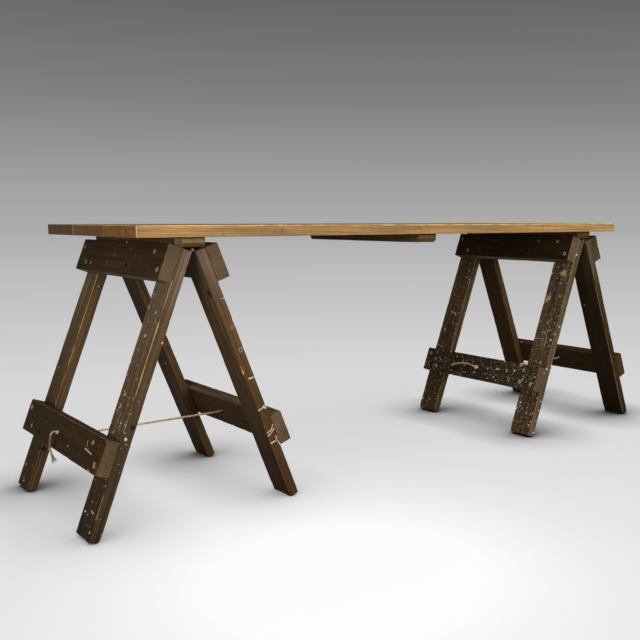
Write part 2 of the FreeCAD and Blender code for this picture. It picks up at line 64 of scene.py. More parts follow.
def addNode(tree, kind, settings, inputs=None, stops=()):
    # a kind may end in its operation; settings are a name or a dictionary with one; an input is a constant,
    # a hex colour, "=text", or "node" or "node:socket" for an output of a named node
    kind, _, operation = kind.partition(".")
    node = tree.nodes.new(kind)
    if operation:
        node.operation = operation
    for name, value in ({"name": settings} if isinstance(settings, str) else settings).items():
        setattr(node, name, value)
    feed(tree, node, inputs or {})
    for index, (position, colour) in enumerate(stops):
        ramp = node.color_ramp.elements
        stop = ramp[index] if index < len(ramp) else ramp.new(position)
        stop.position = position
        stop.color = hexToLinear(colour)
    return node


def feed(tree, node, inputs):
    for name, value in inputs.items():
        for item in value if isinstance(value, list) else [value]:
            if not isinstance(item, str):
                node.inputs[name].default_value = item
            elif item.startswith("#"):
                node.inputs[name].default_value = hexToLinear(item)
            elif item.startswith("="):
                node.inputs[name].default_value = item[1:]
            else:
                source, _, socket = item.partition(":")
                outputs = tree.nodes[source].outputs
                output = outputs[socket] if socket else next(out for out in outputs if out.enabled)
                tree.links.new(output, node.inputs[name])


def latticeNoise(a, b, seed):
    # smooth noise from 0 to 1 on a lattice of unit cells
    cells = 64
    table = np.random.default_rng(seed).random((cells, cells))
    ia, ib = np.floor(a).astype(int), np.floor(b).astype(int)
    fa, fb = a - ia, b - ib
    fa, fb = fa * fa * (3 - 2 * fa), fb * fb * (3 - 2 * fb)
    ia, ja, ib, jb = ia % cells, (ia + 1) % cells, ib % cells, (ib + 1) % cells
    low = table[ia, ib] * (1 - fa) + table[ja, ib] * fa
    high = table[ia, jb] * (1 - fa) + table[ja, jb] * fa
    return low * (1 - fb) + high * fb


def smoothStep(low, high, value):
    t = np.clip((value - low) / (high - low), 0, 1)
    return t * t * (3 - 2 * t)


def newPiece(name, vertices, faces, material):
    mesh = bpy.data.meshes.new(name)
    mesh.from_pydata([tuple(v) for v in vertices], [], faces)
    mesh.validate()
    piece = bpy.data.objects.new(name, mesh)
    bpy.context.scene.collection.objects.link(piece)
    if material:
        mesh.materials.append(material)
    return piece


def faceOutwards(piece):
    shell = bmesh.new()
    shell.from_mesh(piece.data)
    bmesh.ops.recalc_face_normals(shell, faces=shell.faces)
    shell.to_mesh(piece.data)
    shell.free()


def setVectors(piece, name, values):
    attribute = piece.data.attributes.new(name, "FLOAT_VECTOR", "POINT")
    attribute.data.foreach_set("vector", np.asarray(values, np.float32).ravel())


def vertexArray(piece):
    points = np.zeros(len(piece.data.vertices) * 3, np.float32)
    piece.data.vertices.foreach_get("co", points)
    return points.reshape(-1, 3).astype(float)


def bakeModifiers(piece):
    # turns the piece with its modifiers into a plain mesh
    bpy.context.view_layer.update()
    mesh = bpy.data.meshes.new_from_object(piece.evaluated_get(bpy.context.evaluated_depsgraph_get()))
    piece.modifiers.clear()
    piece.data = mesh


def fitPiece(piece, body, slot, *replaced):
    if replaced:
        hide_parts(*replaced)
    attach(piece, body)


# Camera: the photograph is a crop, so its optical axis lies right of its middle

cameraView = {
    "location": (-1.68865, -2.26224, 0.7719),
    "yaw": 0.70164,          # turned right from looking along +Y
    "pitch": 0.1194,         # tilted down
    "focalPixels": 830.98,
    "axisPixel": 419.12,
    "imageSize": 640,
    "sensor": 36.0,
}


def makeCamera(view):
    data = bpy.data.cameras.new("camera")
    data.sensor_width = view["sensor"]
    data.lens = view["focalPixels"] / view["imageSize"] * view["sensor"]
    data.shift_x = 0.5 - view["axisPixel"] / view["imageSize"]
    camera = bpy.data.objects.new("camera", data)
    camera.location = view["location"]
    camera.rotation_euler = (math.pi / 2 - view["pitch"], 0, -view["yaw"])
    bpy.context.scene.collection.objects.link(camera)
    bpy.context.scene.camera = camera


makeCamera(cameraView)
print("camera placed")


def newFinish(name, rows, surface):
    # rows of a node tree: kind, settings, inputs and, for a ramp, its stops; then the sockets of the shader
    material = bpy.data.materials.new(name)
    material.use_nodes = True
    tree = material.node_tree
    tree.nodes["Principled BSDF"].name = "surface"
    for kind, *rest in rows:
        addNode(tree, "ShaderNode" + kind, *rest)
    feed(tree, tree.nodes["surface"], surface)
    return material


# Pine: growth rings by the distance from the pith, fibres along the grain, knots, end grain, worn arrises,
# spilt paint and painted light and shade. A piece carries its own directions and marks as attributes

pineNoise = {
    "ringWarp": (2.2, 14.0, 14.0),      # cells a metre along and across the grain
    "fibre": (16.0, 800.0, 800.0),
    "line": (1.8, 270.0, 270.0),
    "streak": (3.0, 120.0, 120.0),
    "blotch": (4.0, 15.0, 15.0),
    "chip": (60.0, 110.0, 110.0),
}
dropRipple = {"size": 6.25 * mm, "reach": 5 * mm}
midRange = {"From Min": 0.3, "From Max": 0.7}      # where most of a noise lies
smooth = {"interpolation_type": "SMOOTHSTEP"}
colour = {"data_type": "RGBA"}
times = {"data_type": "RGBA", "blend_type": "MULTIPLY"}


def pineFinish(name, look):
    rows = [("TexCoord", "place")]
    for key in ("grain", "knots", "marks", "tones", "stain"):
        rows.append(("Attribute", {"name": key, "attribute_name": key}))
    rows += [
        ("SeparateXYZ", "mark", {0: "marks:Vector"}),      # arris distance, end grain, warmth
        ("SeparateXYZ", "tone", {0: "tones:Vector"}),      # paleness, splashes, smears
        ("SeparateXYZ", "soak", {0: "stain:Vector"}),      # depth, lines, streaks
    ]
    for key, scale in pineNoise.items():
        rows += [
            ("VectorMath.MULTIPLY", key + "Cells", {0: "grain:Vector", 1: scale}),
            ("TexNoise", key, {"Vector": key + "Cells", "Scale": 1.0, "Detail": 3.0, "Roughness": 0.55}),
        ]
    rows += [
        # knots, by the distance from the nearest one in its own radii
        ("VectorMath.LENGTH", "knotFar", {0: "knots:Vector"}),
        ("Math.MULTIPLY_ADD", "knotReach", {0: "chip", 1: 0.7, 2: "knotFar"}),
        ("MapRange", {"name": "knotPull", **smooth}, {
            "Value": "knotReach", "From Min": 0.6, "From Max": 3.4, "To Min": 2.6, "To Max": 0.0}),
        ("MapRange", {"name": "knotShare", **smooth}, {
            "Value": "knotReach", "From Min": 0.9, "From Max": 2.2,
            "To Min": look["knotAmount"], "To Max": 0.0}),
        ("Math.MULTIPLY", "knotStep", {0: "knotReach", 1: 0.5}),
        ("ValToRGB", "knotTone", {"Fac": "knotStep"}, (
            (0.1, look["knotHeart"]), (0.45, look["knotRim"]),
            (0.6, look["knotHeart"]), (0.95, look["knotHalo"]))),
        # growth rings, dense at their late edge
        ("VectorMath.MULTIPLY", "across", {0: "grain:Vector", 1: (0, 1, 1)}),
        ("VectorMath.LENGTH", "pith", {0: "across"}),
        ("Math.MULTIPLY_ADD", "ringCount", {0: "pith", 1: 1 / look["ringWidth"], 2: "knotPull"}),
        ("Math.MULTIPLY_ADD", "rings", {0: "ringWarp", 1: look["ringWarp"], 2: "ringCount"}),
        ("Math.FRACT", "phase", {0: "rings"}),
        ("ValToRGB", "lateWood", {"Fac": "phase"}, (
            (0.0, "#404040"), (0.5, "#5A5A5A"), (0.85, "#FFFFFF"), (1.0, "#404040"))),
        ("Math.MULTIPLY", "lateShare", {0: "lateWood", 1: look["ringContrast"]}),
        ("Mix", {"name": "wood", **colour}, {0: "lateShare", 6: look["early"], 7: look["late"]}),
        # fibres, lines, streaks and blotches darken and lighten it
        ("MapRange", "fibreShade", {
            "Value": "fibre", **midRange, "To Min": 1 - look["fibreDepth"], "To Max": 1.12}),
        ("MapRange", "lineSwing", {
            "Value": "line", "From Min": 0.36, "From Max": 0.64, "To Min": -0.6, "To Max": 0.42}),
        ("Math.MULTIPLY_ADD", "lineShade", {0: "lineSwing", 1: "soak:Y", 2: 1.0}),
        ("MapRange", "streakSwing", {
            "Value": "streak", **midRange, "To Min": -look["streakDepth"], "To Max": 0.15}),
        ("Math.MULTIPLY_ADD", "streakShade", {0: "streakSwing", 1: "soak:Z", 2: 1.0}),
        ("MapRange", "blotchShade", {
            "Value": "blotch", **midRange, "To Min": 1 - look["blotchDepth"], "To Max": 1.15}),
        ("Math.MULTIPLY", "fineShade", {0: "fibreShade", 1: "lineShade"}),
        ("Math.MULTIPLY", "coarseShade", {0: "streakShade", 1: "blotchShade"}),
        ("Math.MULTIPLY", "bothShade", {0: "fineShade", 1: "coarseShade"}),
        # the depth multiplied in here is the stain's, with each timber's painted light and shade
        ("Math.MULTIPLY", "shade", {0: "bothShade", 1: "soak:X"}),
        ("Mix", {"name": "toned", **times}, {0: 1.0, 6: "wood", 7: "shade"}),
        # warm and pale faces
        ("Mix", {"name": "warmTone", **times}, {0: 1.0, 6: look["warm"], 7: "bothShade"}),
        ("Mix", {"name": "warmed", **colour}, {0: "mark:Z", 6: "toned", 7: "warmTone"}),
        ("Mix", {"name": "paleTone", **times}, {0: 1.0, 6: look["pale"], 7: "bothShade"}),
        ("Math.MULTIPLY", "paleShare", {0: "tone:X", 1: "streakShade"}),
        ("Mix", {"name": "paled", **colour}, {0: "paleShare", 6: "warmed", 7: "paleTone"}),
        ("Mix", {"name": "ended", **times}, {0: "mark:Y", 6: "paled", 7: look["endTone"]}),
        ("Mix", {"name": "knotted", **colour}, {0: "knotShare", 6: "ended", 7: "knotTone"}),
        # arrises rubbed bare, brown at the rim of the worn strip and pale inside it
        ("Math.MULTIPLY_ADD", "rubReach", {0: "chip", 1: look["rubSpread"], 2: "mark:X"}),
        ("MapRange", {"name": "rubShare", **smooth}, {
            "Value": "rubReach", "From Min": look["rubStart"], "From Max": look["rubEnd"],
            "To Min": look["rubAmount"], "To Max": 0.0}),
        ("MapRange", "rubStep", {
            "Value": "rubReach", "From Min": look["rubStart"] - look["rubCore"], "From Max": look["rubEnd"]}),
        ("ValToRGB", "rubTone", {"Fac": "rubStep"}, ((0.25, look["bare"]), (0.75, look["rubbed"]))),
        ("Mix", {"name": "bareTone", **times}, {0: 1.0, 6: "rubTone", 7: "fibreShade"}),
        ("Mix", {"name": "worn", **colour}, {0: "rubShare", 6: "knotted", 7: "bareTone"}),
        # dry smears of paint
        ("Math.MULTIPLY_ADD", "smearSum", {0: "streak", 1: 0.8, 2: "tone:Z"}),
        ("Math.MULTIPLY_ADD", "smearReach", {0: "chip", 1: 0.6, 2: "smearSum"}),
        ("MapRange", {"name": "smearShare", **smooth}, {
            "Value": "smearReach", "From Min": 1.0, "From Max": 1.25, "To Max": 0.75}),
        ("Mix", {"name": "smeared", **colour}, {0: "smearShare", 6: "worn", 7: look["smear"]}),
        # drops of paint in three sizes, with ragged rims
        ("TexNoise", "ripple", {"Vector": "place:Object", "Scale": 1 / dropRipple["size"], "Detail": 2.0}),
        ("VectorMath.MULTIPLY_ADD", "rippled", {
            0: "ripple:Color", 1: (dropRipple["reach"],) * 3, 2: "place:Object"}),
    ]
    below = "smeared"
    for index, (cell, least, most, often) in enumerate(look["drops"]):
        key = str(index)
        rows += [
            ("TexVoronoi", "cell" + key, {"Vector": "rippled", "Scale": 1 / cell}),
            ("SeparateColor", "chance" + key, {0: "cell" + key + ":Color"}),
            ("Math.MULTIPLY_ADD", "size" + key, {0: "chance" + key + ":Green", 1: most - least, 2: least}),
            ("Math.DIVIDE", "far" + key, {0: "cell" + key + ":Distance", 1: "size" + key}),
            ("MapRange", {"name": "spot" + key, **smooth}, {
                "Value": "far" + key, "From Min": 0.75, "From Max": 1.05, "To Min": 1.0, "To Max": 0.0}),
            ("Math.MULTIPLY", "often" + key, {0: "tone:Y", 1: often}),
            ("Math.LESS_THAN", "there" + key, {0: "chance" + key + ":Red", 1: "often" + key}),
            ("Math.MULTIPLY", "splash" + key, {0: "spot" + key, 1: "there" + key}),
            ("Mix", {"name": "paint" + key, **colour}, {
                0: "chance" + key + ":Blue", 6: look["paintDull"], 7: look["paintWhite"]}),
            ("Mix", {"name": "painted" + key, **colour}, {0: "splash" + key, 6: below, 7: "paint" + key}),
        ]
        below = "painted" + key
    rows += [
        # fibres, lines and the largest drops stand out a little
        ("Math.MULTIPLY_ADD", "reliefFibre", {0: "fibre", 1: 0.35, 2: "splash2"}),
        ("Math.MULTIPLY_ADD", "reliefLine", {0: "line", 1: 0.5, 2: "reliefFibre"}),
        ("Math.MULTIPLY_ADD", "relief", {0: "lateWood", 1: 0.25, 2: "reliefLine"}),
        ("Bump", "bump", {"Height": "relief", "Strength": 0.6, "Distance": 0.5 * mm}),
        ("MapRange", "dryness", {
            "Value": "blotch", **midRange,
            "To Min": look["roughness"] - 0.1, "To Max": look["roughness"] + 0.1}),
    ]
    return newFinish(name, rows, {
        "Base Color": below, "Normal": "bump", "Roughness": "dryness", "Specular IOR Level": look["gloss"]})


# Drops are rows of cell size, smallest and largest share of the cell, and how common they are

# Softwood legs and rails under a dark brown stain that has gone dull, rubbed through at the arrises
stainedLook = {
    "early": "#6E5537", "late": "#40301C", "ringWidth": 3.4 * mm, "ringWarp": 5.0, "ringContrast": 0.75,
    "fibreDepth": 0.3, "streakDepth": 0.3, "blotchDepth": 0.28,
    # the pale tone is partly wear and partly painted light, on the sides and upper ends
    "warm": "#7E552C", "pale": "#8B7760", "endTone": "#DED6CC",
    "bare": "#DDBA84", "rubbed": "#8A6E48", "smear": "#A3937A",
    "knotHeart": "#2A1D12", "knotRim": "#1C120A", "knotHalo": "#5A3A22", "knotAmount": 0.95,
    "rubStart": 1.6 * mm, "rubEnd": 3.4 * mm, "rubSpread": 3.2 * mm, "rubCore": 3 * mm,
    "rubAmount": 0.85,
    "paintDull": "#B2AB99", "paintWhite": "#F0ECE0", "roughness": 0.7, "gloss": 0.06,
    "drops": ((7 * mm, 0.12, 0.27, 1.4), (13 * mm, 0.13, 0.33, 0.9), (26 * mm, 0.1, 0.24, 0.7)),
}
# Pine boards yellowed under old wax, paler where the arrises are worn
honeyLook = {
    "early": "#B98F58", "late": "#926838", "ringWidth": 3.1 * mm, "ringWarp": 6.0, "ringContrast": 0.7,
    "fibreDepth": 0.22, "streakDepth": 0.22, "blotchDepth": 0.2,
    "warm": "#A87540", "pale": "#D0A871", "endTone": "#DCC690",
    "bare": "#EFD3A0", "rubbed": "#D2A871", "smear": "#C3A980",
    "knotHeart": "#84603A", "knotRim": "#6B4A2A", "knotHalo": "#A27D50", "knotAmount": 0.6,
    "rubStart": 1.6 * mm, "rubEnd": 3.4 * mm, "rubSpread": 3.0 * mm, "rubCore": 3 * mm,
    "rubAmount": 0.75,
    "paintDull": "#A3825A", "paintWhite": "#D9CDB4", "roughness": 0.6, "gloss": 0.2,
    "drops": ((7 * mm, 0.1, 0.24, 1.0), (13 * mm, 0.1, 0.26, 1.0), (26 * mm, 0.08, 0.2, 0.5)),
}
# Battens of bare softwood, grey-brown with age
rawLook = {
    "early": "#957A52", "late": "#664D2E", "ringWidth": 2.9 * mm, "ringWarp": 5.0, "ringContrast": 0.7,
    "fibreDepth": 0.28, "streakDepth": 0.25, "blotchDepth": 0.25,
    # the pale tone is painted light, for the lit batten ends and the clipped corner
    "warm": "#9A6636", "pale": "#DCC79C", "endTone": "#E6DCC6",
    "bare": "#C2A976", "rubbed": "#9C835A", "smear": "#B5A488",
    "knotHeart": "#4A3320", "knotRim": "#332112", "knotHalo": "#7A5E3E", "knotAmount": 0.9,
    "rubStart": 1.5 * mm, "rubEnd": 3.2 * mm, "rubSpread": 3.0 * mm, "rubCore": 3 * mm,
    "rubAmount": 0.6,
    "paintDull": "#9A8C72", "paintWhite": "#CFC4AE", "roughness": 0.78, "gloss": 0.12,
    "drops": ((7 * mm, 0.1, 0.24, 1.0), (13 * mm, 0.1, 0.26, 1.0), (26 * mm, 0.08, 0.2, 0.5)),
}
stainedPine = pineFinish("stainedPine", stainedLook)
honeyPine = pineFinish("waxedPine", honeyLook)
rawPine = pineFinish("barePine", rawLook)
print("pine finishes made")


# Timbers: each one is built again in its own directions, u along the grain, v across its width and w through
# its thickness, from the reach of its plain solid

splay = math.radians(20.6)
sides = {"left_outer": -1, "left_inner": 1, "right_inner": -1, "right_outer": 1}      # way each frame leans
frameParts = ("front_leg", "back_leg", "top_rail", "lower_rail")
hingeHeight = 0.6980563
hingeX = {"left": -0.771, "right": 0.771}
# places on a leg frame: out from the hinge, along the trestle, down the legs
frameSizes = {
    "legCentre": 0.256, "legFront": -0.302, "legFace": 0.0309,
    "railMiddles": (0.0525, 0.5465), "railFace": 0.0669, "screwDrop": 0.023, "screwStagger": 0.024,
    "leafFace": 0.0004, "leafScrewDrop": 0.017, "leafScrewStep": 0.026,
}
# holes for the rope: along the rail, and how much lower it is drilled at the outer face
ropeHoles = {
    "left_outer_lower_rail": ((0.011, 0.0),),
    "left_inner_lower_rail": ((0.011, 0.0),),
    "right_outer_lower_rail": ((-0.003, 0.0),),
    "right_inner_lower_rail": ((-0.003, 0.0), (0.137, 0.011)),
}
ropeDrill = {"radius": 5.5 * mm, "deep": 0.06, "over": 0.02}
# a pair of screws in each board
battenSizes = {
    "places": (-0.771, -0.010, 0.771), "bottom": 0.7044086, "boardPitch": 0.22525, "halfPitch": 0.03,
}
# slotted countersunk screws
screwLooks = {
    "rail": {"Head Diameter": 12.5 * mm, "Shank Diameter": 6 * mm, "Length": 58 * mm, "Sink": 0.7 * mm},
    "hinge": {"Head Diameter": 7.6 * mm, "Shank Diameter": 4 * mm, "Length": 22 * mm, "Sink": 0.1 * mm},
    "batten": {"Head Diameter": 10 * mm, "Shank Diameter": 5 * mm, "Length": 46 * mm, "Sink": 0.7 * mm},
}


def leaning(side):
    out = np.array((side * math.cos(splay), 0, math.sin(splay)))
    down = np.array((side * math.sin(splay), 0, -math.cos(splay)))
    return out, down


def framePoint(name, out, along, drop):
    outward, down = leaning(sides[name])
    return np.array((hingeX[name.split("_")[0]], along, hingeHeight)) + outward * out + down * drop


def railScrews(name, middle):
    # a slantwise pair at each crossing of a leg and a rail
    points = []
    for leg in (-1, 1):
        for half in (-1, 1):
            along = leg * frameSizes["legCentre"] + half * sides[name] * frameSizes["screwStagger"]
            drop = middle + half * frameSizes["screwDrop"]
            points.append(framePoint(name, frameSizes["railFace"], along, drop))
    return points


def frameScrews(name):
    return [point for middle in frameSizes["railMiddles"] for point in railScrews(name, middle)]


def hingeScrews(name):
    step = frameSizes["leafScrewStep"]
    ys = [leg * frameSizes["legCentre"] + k * step for leg in (-1, 1) for k in (-1, 0, 1)]
    return [framePoint(name, frameSizes["leafFace"], y, frameSizes["leafScrewDrop"]) for y in ys]


def battenScrews(x):
    ys = [k * battenSizes["boardPitch"] + h * battenSizes["halfPitch"] for k in (-1, 0, 1) for h in (-1, 1)]
    return [np.array((x, y, battenSizes["bottom"])) for y in ys]


def frameName(node):
    return node.rsplit("_", 2)[0]


def timberAxes(node):
    x, y, z = np.eye(3)
    if node.startswith("top_board"):
        return np.array((x, y, z))
    if node.endswith("batten"):
        return np.array((y, x, z))
    out, down = leaning(sides[frameName(node)])
    return np.array((y, down, out) if node.endswith("rail") else (down, y, out))


arrisRows = np.array((0, 0.8, 1.8, 3.2, 5.2)) * mm      # rows of points beside an arris
arrisBand = 8 * mm


def spread(half, step):
    # places from end to end, close together near both arrises
    inner = half - arrisBand
    middle = np.linspace(-inner, inner, max(2, round(2 * inner / step) + 1))
    return np.concatenate([arrisRows - half, middle, half - arrisRows[::-1]])


def boxGrid(places):
    # vertices and faces of a box with a grid on each side
    counts = [len(p) for p in places]
    shell = np.ones(counts, bool)
    shell[1:-1, 1:-1, 1:-1] = False
    index = np.full(counts, -1)
    index[shell] = np.arange(shell.sum())
    vertices = np.stack(np.meshgrid(*places, indexing="ij"), axis=-1)[shell]
    faces = []
    for axis in range(3):
        for end in (0, -1):
            side = np.take(index, end, axis=axis)
            quads = np.stack([side[:-1, :-1], side[1:, :-1], side[1:, 1:], side[:-1, 1:]], axis=-1)
            faces += [tuple(quad) for quad in quads.reshape(-1, 4).tolist()]
    return vertices, faces


timberLook = {
    "step": 6 * mm,
    "arris": 1.5 * mm,       # usual rounding of a worn arris
    "wander": 30 * mm,       # length over which it changes
    "chip": 3.2 * mm,        # how much deeper it is knocked off in places
    "chipLength": 14 * mm,
    "chipChance": (0.72, 0.95),
    "hollow": 0.5 * mm,      # unevenness of the faces, inwards
    "hollowSizes": (90 * mm, 20 * mm, 30 * mm, 12 * mm),      # length, and width on sides, faces and ends
    "foot": 4 * mm,          # rounding of the feet
    "footReach": 30 * mm,
    "sharp": math.radians(50),
}


def wornBox(half, look, seed, foot):
    points, faces = boxGrid([spread(h, look["step"]) for h in half])
    # arrises: each has a number, and is rounded by an amount that wanders along it, with chips
    arris = 3 * np.sign(points[:, 1]) + 7 * np.sign(points[:, 2]) + 17
    along = points[:, 0] + 0.7 * points[:, 1] + 1.3 * points[:, 2]
    wander = latticeNoise(along / look["wander"], arris, seed)
    chips = smoothStep(*look["chipChance"], latticeNoise(along / look["chipLength"], arris + 31, seed + 1))
    radius = look["arris"] * (0.5 + wander) + look["chip"] * chips * wander
    radius += foot * (0.4 + wander) * smoothStep(half[0] - look["footReach"], half[0], points[:, 0])
    radius = radius[:, None]
    inner = np.clip(points, radius - half, half - radius)
    away = points - inner
    points = inner + away * (radius / np.linalg.norm(away, axis=1, keepdims=True))
    # faces: slightly hollowed, most along the grain
    u, v, w = points.T.copy()
    long, onSide, onFace, onEnd = look["hollowSizes"]
    points[:, 1] -= v / half[1] * look["hollow"] * latticeNoise(u / long, w / onSide + 9, seed + 2)
    points[:, 2] -= w / half[2] * look["hollow"] * latticeNoise(u / long, v / onFace + 9, seed + 3)
    points[:, 0] -= u / half[0] * look["hollow"] * latticeNoise(v / onEnd + 5, w / onEnd + 9, seed + 4)
    return points, faces


def pressTo(points, normal, reach):
    # brings what lies beyond a plane back onto it
    normal = np.asarray(normal, float)
    normal /= np.linalg.norm(normal)
    beyond = np.maximum(points @ normal - reach @ normal, 0)
    return points - beyond[:, None] * normal


# One rail's worn end, the battens' undercut ends and one batten's clipped corner, whose facet is painted
# paler as if lit
wornEnd = {"radius": 20 * mm, "reach": 35 * mm, "pits": 1.3 * mm, "pitSize": 5 * mm}
undercut = {"rise": 12 * mm, "run": 10 * mm, "seat": 4 * mm, "rim": 1 * mm}
clippedCorner = {"wide": 11 * mm, "long": 30 * mm, "lean": 8 * mm, "pale": 0.8}


def timberShape(node, half, seed):
    points, faces = wornBox(half, timberLook, seed, timberLook["foot"] if node.endswith("leg") else 0)
    if node.endswith("batten"):
        # a bevel that seats on the trestle along each lower edge, and an undercut at each end
        for way in (-1, 1):
            points = pressTo(points, (0, way * math.sin(splay), -math.cos(splay)),
                             np.array((0, way * (half[1] - undercut["seat"]), -half[2])))
            points = pressTo(points, (way * undercut["rise"], 0, -undercut["run"]),
                             np.array((way * (half[0] - undercut["run"]), 0, -half[2])))
    if node == "left_batten":
        # its front left corner is clipped
        points = pressTo(points, (-clippedCorner["wide"], -clippedCorner["long"], -clippedCorner["lean"]),
                         np.array((-half[0], clippedCorner["wide"] - half[1], 0)))
    if node == "left_outer_lower_rail":
        # its front end is worn round and pitted
        centre = np.array((wornEnd["radius"] - half[0], half[2] - wornEnd["radius"]))
        away = points[:, (0, 2)] - centre
        reach = np.hypot(*away.T)
        beyond = (away[:, 0] < 0) & (away[:, 1] > 0) & (reach > wornEnd["radius"])
        points[beyond[:, None] & np.array((True, False, True))] = (
            centre + away[beyond] * (wornEnd["radius"] / reach[beyond])[:, None]).ravel()
        cells = points[:, 1:] / wornEnd["pitSize"]
        pits = latticeNoise(cells[:, 0], cells[:, 1] + 7, seed + 6)
        nearEnd = 1 - smoothStep(0, wornEnd["reach"], points[:, 0] + half[0])
        points[:, 0] += wornEnd["pits"] * pits * nearEnd
    return points, faces


# Drilled holes, countersinks and drying splits are cut into the finished shape

def addDrill(shell, surface, outward, low, high, deep, over):
    # a cone from deep below the surface to just over it
    turn = Vector(outward).to_track_quat("Z", "Y").to_matrix().to_4x4()
    middle = np.asarray(surface) + np.asarray(outward) * (over - deep) / 2
    bmesh.ops.create_cone(shell, cap_ends=True, segments=40, radius1=low, radius2=high, depth=deep + over,
                          matrix=Matrix.Translation(Vector(middle)) @ turn)


def addSink(shell, surface, outward, look):
    head, shank = look["Head Diameter"] / 2, look["Shank Diameter"] / 2
    over = 1 * mm
    addDrill(shell, surface, outward, shank, head + over, head - shank, over)


# Splits in the ends of the boards: end of the board, place across it, width, depth, drift
splits = {
    "top_board_front": ((1, 0.048, 1.1 * mm, 70 * mm, 6 * mm),),
    "top_board_middle": ((1, -0.035, 1.4 * mm, 90 * mm, -5 * mm),),
    "top_board_back": ((-1, -0.003, 1.8 * mm, 110 * mm, 7 * mm), (1, 0.03, 1.0 * mm, 60 * mm, -4 * mm)),
}


def addSplit(shell, centre, half, axes, end, across, width, depth, drift):
    over = 2 * mm
    corners = [(end * (half[0] + over), across - width / 2), (end * (half[0] + over), across + width / 2),
               (end * (half[0] - depth), across + drift)]
    rings = []
    for w in (-half[2] - over, half[2] + over):
        rings.append([shell.verts.new(centre + np.array((u, v, w)) @ axes) for u, v in corners])
    low, high = rings
    shell.faces.new(low)
    shell.faces.new(high[::-1])
    for i in range(3):
        shell.faces.new((low[i], high[i], high[(i + 1) % 3], low[(i + 1) % 3]))


def timberCuts(node, centre, half, axes):
    shell = bmesh.new()
    if node.endswith("rail"):
        name = frameName(node)
        outward = leaning(sides[name])[0]
        middle = frameSizes["railMiddles"][node.endswith("lower_rail")]
        for point in railScrews(name, middle):
            addSink(shell, point, outward, screwLooks["rail"])
        for y, lower in ropeHoles.get(node, ()):
            mouth = framePoint(name, frameSizes["railFace"], y, middle + lower)
            bore = mouth - framePoint(name, frameSizes["legFace"], y, middle)
            addDrill(shell, mouth, bore / np.linalg.norm(bore), ropeDrill["radius"], ropeDrill["radius"],
                     ropeDrill["deep"], ropeDrill["over"])
    if node.endswith("batten"):
        for point in battenScrews(centre[0]):
            addSink(shell, point, (0, 0, -1), screwLooks["batten"])
    for split in splits.get(node, ()):
        addSplit(shell, centre, half, axes, *split)
    return shell


def cutWith(piece, shell):
    bmesh.ops.recalc_face_normals(shell, faces=shell.faces)
    drill = bpy.data.meshes.new("drill")
    shell.to_mesh(drill)
    tool = bpy.data.objects.new("drill", drill)
    bpy.context.scene.collection.objects.link(tool)
    cut = piece.modifiers.new("hole", "BOOLEAN")
    cut.operation, cut.solver, cut.object = "DIFFERENCE", "EXACT", tool
    bakeModifiers(piece)
    bpy.data.objects.remove(tool)
    bpy.data.meshes.remove(drill)


# What wear, paint and daylight have done to each frame, with light and shade painted on, for its front leg,
# back leg, top rail and lower rail: how light the stain is; how light it is on the narrow sides beside that,
# which is painted light and shade; how much it dims towards the foot, painted light at the upper end and
# painted shade lower down, partly its own tone; how pale the sides and the upper ends are, partly wear and
# weathering and partly painted light; how warm, how grey the outer faces are, and how much paint was spilt
frameLooks = {
    "left_outer": {
        "depth": (1.1, 1.05, 0.48, 0.27), "side": (0.62, 1.5, 1.0, 1.0), "shadeAndToneGrade": (0.75, 0.8, 0.0, 0.0),
        "pale": (0.1, 0.15, 0.8, 0.6), "paleAndLitCrown": (0.75, 0.4, 0.0, 0.0), "warm": (0.08, 0.45, 0.3, 0.35),
        "film": (0.34, 0.2, 0.05, 0.0), "splash": (0.16, 0.06, 0.012, 0.008)},
    "left_inner": {
        "depth": (0.95, 0.16, 0.6, 0.45), "side": (0.85, 3.6, 1.0, 1.0), "shadeAndToneGrade": (1.3, 0.2, 0.0, 0.0),
        "pale": (0.05, 0.05, 0.9, 0.85), "paleAndLitCrown": (0.9, 0.1, 0.0, 0.0), "warm": (0.4, 0.4, 0.5, 0.65),
        "film": (0.0, 0.0, 0.0, 0.0), "splash": (0.03, 0.03, 0.02, 0.02)},
    "right_inner": {
        "depth": (1.05, 0.85, 0.3, 0.48), "side": (1.1, 0.75, 1.0, 1.0), "shadeAndToneGrade": (0.05, 0.0, 0.0, 0.0),
        "pale": (0.3, 0.15, 0.85, 0.8), "paleAndLitCrown": (0.15, 0.0, 0.0, 0.0), "warm": (0.15, 0.38, 0.2, 0.1),
        "film": (0.12, 0.15, 0.0, 0.05), "splash": (0.46, 0.3, 0.04, 0.6)},
    "right_outer": {
        "depth": (0.3, 0.45, 0.5, 0.5), "side": (1.0, 1.4, 1.0, 1.0), "shadeAndToneGrade": (0.5, 0.1, 0.0, 0.0),
        "pale": (0.05, 0.1, 0.35, 0.06), "paleAndLitCrown": (0.6, 0.0, 0.0, 0.0), "warm": (0.15, 0.5, 0.3, 0.4),
        "film": (0.0, 0.0, 0.0, 0.0), "splash": (0.03, 0.03, 0.02, 0.02)},
}
dimmest = 0.15                               # the painted grade of light and shade darkens no further towards the foot
paleAndLitCrownReach = (-0.95, -0.45)                  # where the paleness of the upper ends, partly painted light, fades
filmEnd = 0.6                                # where the greyness of the outer faces ends
broadShares = {"paleAndLitCrown": 0.6, "warm": 0.4}    # what the broad faces show of the sides' tones
innerSplash = 0.3                            # the share of the drops that reach the other faces
strayDrops = 0.02                            # drops on the top
# How strongly lines and streaks show on the ends, the narrow sides and the broad faces
grainShows = {
    "board": {"lines": (0.5, 0.35, 0.35), "streaks": (1.6, 1.0, 1.0)},
    "batten": {"lines": (0.15, 0.35, 0.35), "streaks": (0.4, 1.0, 1.0)},
    "frame": {"lines": (0.15, 0.9, 0.3), "streaks": (0.3, 1.0, 1.0)},
}
